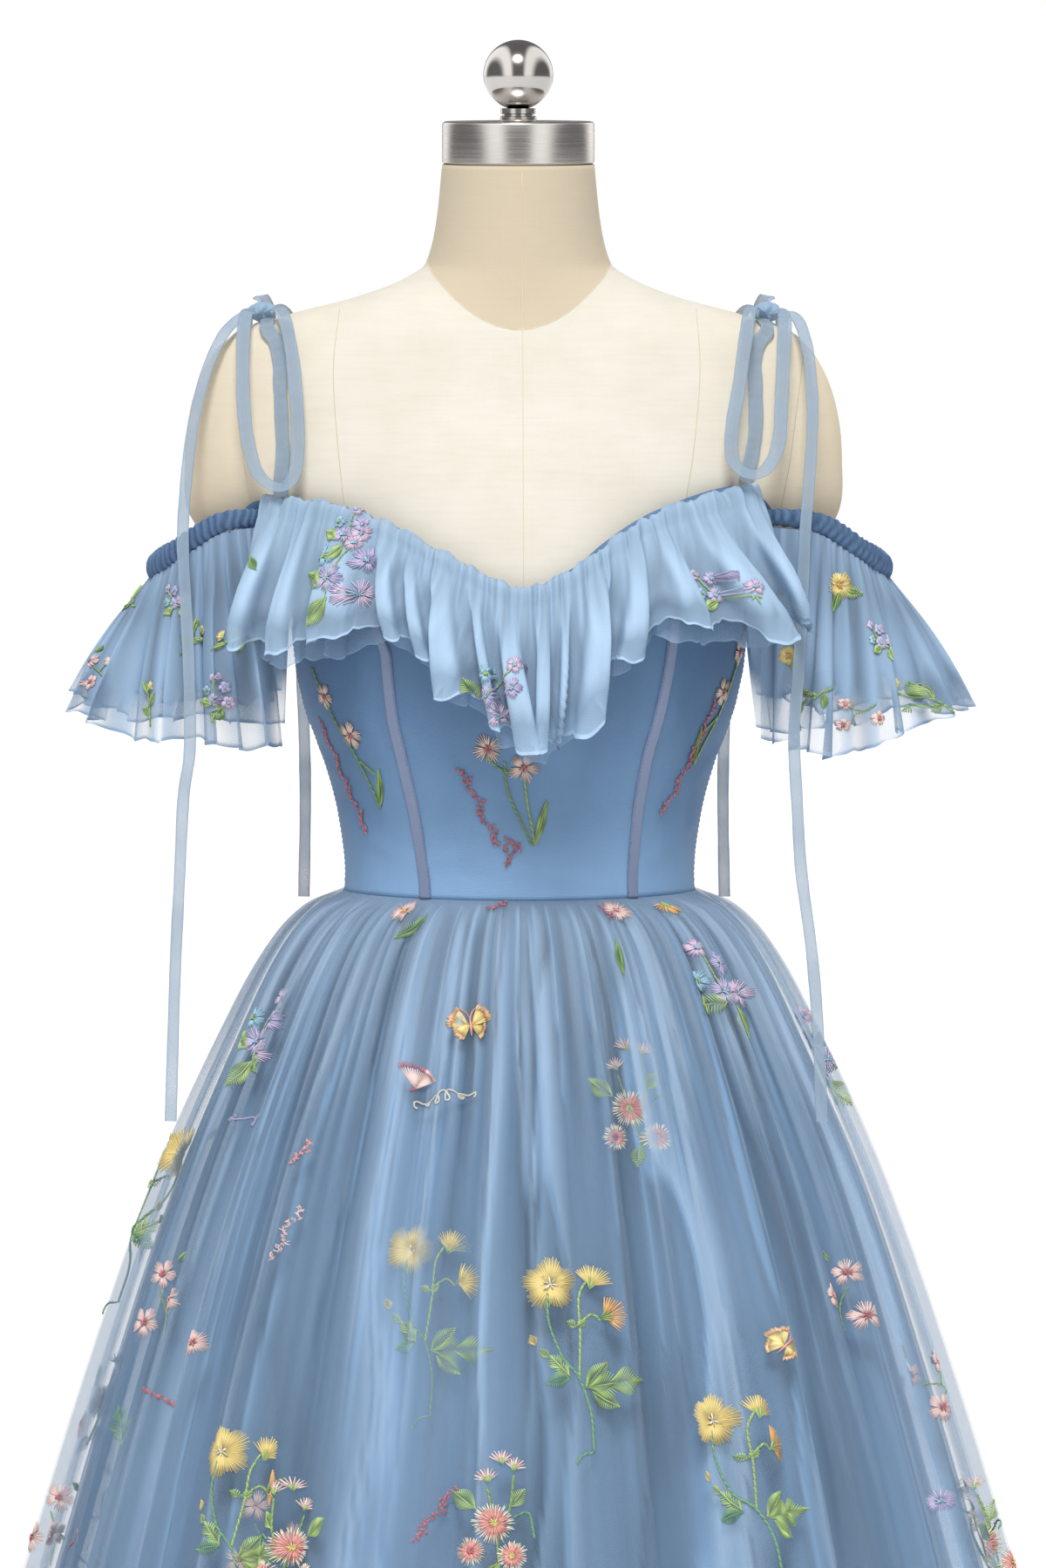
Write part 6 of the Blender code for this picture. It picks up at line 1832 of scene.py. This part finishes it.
# Motifs on the hidden sides, by angle in degrees and by height or drop
BACK_SPRAYS = ((118.0, 0.120), (148.0, 0.075))
BACK_SPRIG_ROUTE = ((-0.006, 0.026), (0.000, 0.004), (0.006, -0.024))
BACK_LIFT = 0.004
SLEEVE_FILLS = (green_sprig, lilac_spray, green_sprig, pink_plant)
SLEEVE_FILL_COUNT = 7
SKIRT_FILLS = (yellow_plant, pink_plant, lilac_spray, aster_plant, peach_spray)
SKIRT_BACK_DROPS = (0.060, 0.145, 0.235, 0.330, 0.425, 0.510)
SKIRT_HEM_COUNT = 9
SKIRT_HEM_DROP = 0.505
SKIRT_SIDE_SPOTS = ((-84.0, 0.19), (-82.0, 0.40), (84.0, 0.10), (83.0, 0.41))
SKIRT_SPRIG_ROUTE = ((-0.010, 0.006), (0.0, 0.0), (0.010, -0.004))
SKIRT_TILT = 0.25
RUFFLE_TILT = 0.15
UNDER_NET_RISE = -0.25
RAY_START = 0.08
SEWING_REACH = 0.03
LONGEST_STEP = 0.02
SHORTEST_STROKE = 1e-5


class Embroiderer:
    """Lays strokes on a cloth piece, or under it, and joins them into one object."""

    def __init__(self, cloth, side_out, rise=1.0):
        bpy.context.view_layer.update()
        self.tree = BVHTree.FromObject(cloth, bpy.context.evaluated_depsgraph_get())
        self.side_out = side_out
        self.rise = rise
        self.parts = []

    def at_pixel(self, x, y):
        """The point of the cloth that the photograph shows at a pixel."""
        return self.tree.ray_cast(CAMERA_PLACE, pixel_ray(x, y))[0]

    def sew(self, place, strokes):
        """Lays strokes about a place, facing out from the body."""
        if place is None:
            return
        out = self.side_out(place).normalized()
        right = Vector((0.0, 0.0, 1.0)).cross(out).normalized()
        up = out.cross(right)
        for points, radius, lift, floss in strokes:
            path = []
            for u, v in points:
                start = place + right * u + up * v + out * SEWING_REACH
                hit = self.tree.ray_cast(start, -out, 2.0 * SEWING_REACH)
                if hit[0] is not None:
                    normal = hit[1] if hit[1].dot(out) > 0.0 else -hit[1]
                    path.append(hit[0] + (normal * 0.6 + out * 0.4) * lift * self.rise)
            if len(path) < 2 or (path[0] - path[-1]).length < SHORTEST_STROKE:
                continue
            steps = [(path[k] - path[k + 1]).length for k in range(len(path) - 1)]
            if max(steps) > LONGEST_STEP:
                continue
            if len(path) == 2:
                path.insert(1, (path[0] + path[1]) / 2.0 + out * radius * 0.5)
            radii = [radius * 0.55] + [radius] * (len(path) - 2) + [radius * 0.55]
            tube = tube_mesh([tuple(point) for point in path], radii, 3)
            self.parts.append((*tube, FLOSS_NAMES.index(floss)))

    def sew_rows(self, rng, rows):
        """Lays a table's motifs, each at its own pixel of the photograph."""
        for pixel, maker, values, placing in rows:
            draws = () if maker in UNSEEDED_MAKERS else (rng,)
            self.sew(self.at_pixel(*pixel), moved(maker(*draws, *values), **placing))

    def finish(self, name):
        """The joined embroidery, riding with the dress."""
        piece = joined(name, self.parts, FLOSS_PAINTS)
        return belongs(piece, [])


def radial(tilt):
    """Outward direction from the body's axis, tipped up a little."""
    def out(place):
        flat = Vector((place.x, place.y, 0.0)).normalized()
        return flat + Vector((0.0, 0.0, tilt))
    return out


def embroider_bodice(rng):
    """Sprays and knotted sprigs on the bodice's front, sides and back."""
    work = Embroiderer(bpy.data.objects["cloth_front"], radial(0.0))
    work.sew_rows(rng, BODICE_MOTIFS)
    work.finish("embroidery_bodice_front")
    for side, mirror in (("left", 1.0), ("right", -1.0)):
        work = Embroiderer(bpy.data.objects["cloth_side_" + side], radial(0.0))
        work.sew(work.at_pixel(*SIDE_SPRAY_PIXELS[side]), side_spray(rng, mirror))
        route = [(u * mirror, v) for u, v in SIDE_SPRIG_ROUTE]
        work.sew(work.at_pixel(*SIDE_SPRIG_PIXELS[side]), knotted_sprig(rng, route, "rose", 0.0032))
        work.finish("embroidery_bodice_side_" + side)
    for side, mirror in (("left", -1.0), ("right", 1.0)):
        work = Embroiderer(bpy.data.objects["cloth_back_" + side], radial(0.0))
        for degrees, height in BACK_SPRAYS:
            turn = math.radians(degrees) * mirror
            work.sew(Vector(torso_point(turn, height, BACK_LIFT)), peach_spray(rng, mirror > 0.0))
            beside = Vector(torso_point(turn + 0.16 * mirror, height - 0.004, BACK_LIFT))
            work.sew(beside, knotted_sprig(rng, BACK_SPRIG_ROUTE, "rose", 0.0022))
        work.finish("embroidery_bodice_back_" + side)


def embroider_ruffle(rng, ruffle):
    """Lilac sprays on the ruffle's upper layer."""
    work = Embroiderer(ruffle, radial(RUFFLE_TILT))
    work.sew_rows(rng, RUFFLE_MOTIFS)
    work.finish("embroidery_ruffle")


def embroider_sleeves(rng, sleeves):
    """The photograph's motifs on each outer flounce, and small ones round to its back."""
    for side, mirror in (("left", -1.0), ("right", 1.0)):
        arm_x, arm_y = -ARM_CENTRE[0] * mirror, ARM_CENTRE[1]
        work = Embroiderer(
            sleeves[side], lambda place, x=arm_x, y=arm_y: Vector((place.x - x, place.y - y, 0.0)))
        work.sew_rows(rng, SLEEVE_MOTIFS[side])
        for number in range(SLEEVE_FILL_COUNT):
            turn = -2.6 + 0.36 * number
            start = Vector((arm_x, arm_y, 1.205 - 0.055 * abs(math.sin(2.0 * number))))
            way = Vector((mirror * math.cos(turn), -math.sin(turn), 0.0))
            hit = work.tree.ray_cast(start, way)
            small = SLEEVE_FILLS[number % len(SLEEVE_FILLS)](rng)
            work.sew(hit[0], moved(small, scale=0.55, turn=turn))
        work.finish("embroidery_sleeve_" + side)


def embroider_skirt(rng, layers):
    """The photograph's motifs on the skirt's front, and like ones over its back, hem and sides."""
    front = Embroiderer(layers["skirt_tulle", "front"], radial(SKIRT_TILT))
    deep = Embroiderer(layers["skirt_tulle_under", "front"], radial(SKIRT_TILT), UNDER_NET_RISE)
    front.sew_rows(rng, SKIRT_MOTIFS)
    deep.sew_rows(rng, UNDER_MOTIFS)
    back = Embroiderer(layers["skirt_tulle", "back"], radial(SKIRT_TILT))
    deep_back = Embroiderer(layers["skirt_tulle_under", "back"], radial(SKIRT_TILT), UNDER_NET_RISE)
    fills = []
    for level, drop in enumerate(SKIRT_BACK_DROPS):
        count = 3 + level
        for k in range(count):
            degrees = 98.0 + 164.0 * (k + 0.5 + 0.22 * math.sin(2.3 * k + level)) / count
            work = back if (k + level) % 3 else deep_back
            fills.append((work, degrees, drop + 0.012 * math.sin(3.1 * k), k + level))
    for k in range(SKIRT_HEM_COUNT):
        degrees = -78.0 + 156.0 * (k + 0.5) / SKIRT_HEM_COUNT
        fills.append((front if k % 3 else deep, degrees, SKIRT_HEM_DROP + 0.014 * math.sin(2.7 * k), k))
    for k, (degrees, drop) in enumerate(SKIRT_SIDE_SPOTS):
        fills.append((front, degrees, drop, k))
    for work, degrees, drop, number in fills:
        turn = math.radians(degrees)
        target = Vector(skirt_outline(turn, drop, 0.012))
        flat = Vector((math.sin(turn), -math.cos(turn), 0.0))
        hit = work.tree.ray_cast(target + flat * RAY_START, -flat)
        motif = SKIRT_FILLS[number % len(SKIRT_FILLS)](rng, number % 2 == 0)
        scale = 0.80 if drop < 0.08 else 1.0
        work.sew(hit[0], moved(motif, scale=scale, turn=0.3 * math.sin(5.0 * number)))
        if number % 2:
            side = Vector((math.cos(turn), math.sin(turn), 0.0))
            hit = work.tree.ray_cast(target + flat * RAY_START + side * 0.05, -flat)
            work.sew(hit[0], knotted_sprig(rng, SKIRT_SPRIG_ROUTE, "rose"))
    front.finish("embroidery_skirt_front")
    deep.finish("embroidery_skirt_under_front")
    back.finish("embroidery_skirt_back")
    deep_back.finish("embroidery_skirt_under_back")


def main():
    build_camera()
    build_stage()
    build_form()
    build_bodice()
    build_channels()
    build_zip()
    ruffle = build_ruffle()
    sleeves = {"left": build_sleeve("left", 1.0), "right": build_sleeve("right", -1.0)}
    build_ties()
    layers = build_skirt()
    rng = random.Random(EMBROIDERY_SEED)
    embroider_bodice(rng)
    embroider_ruffle(rng, ruffle)
    embroider_sleeves(rng, sleeves)
    embroider_skirt(rng, layers)


main()
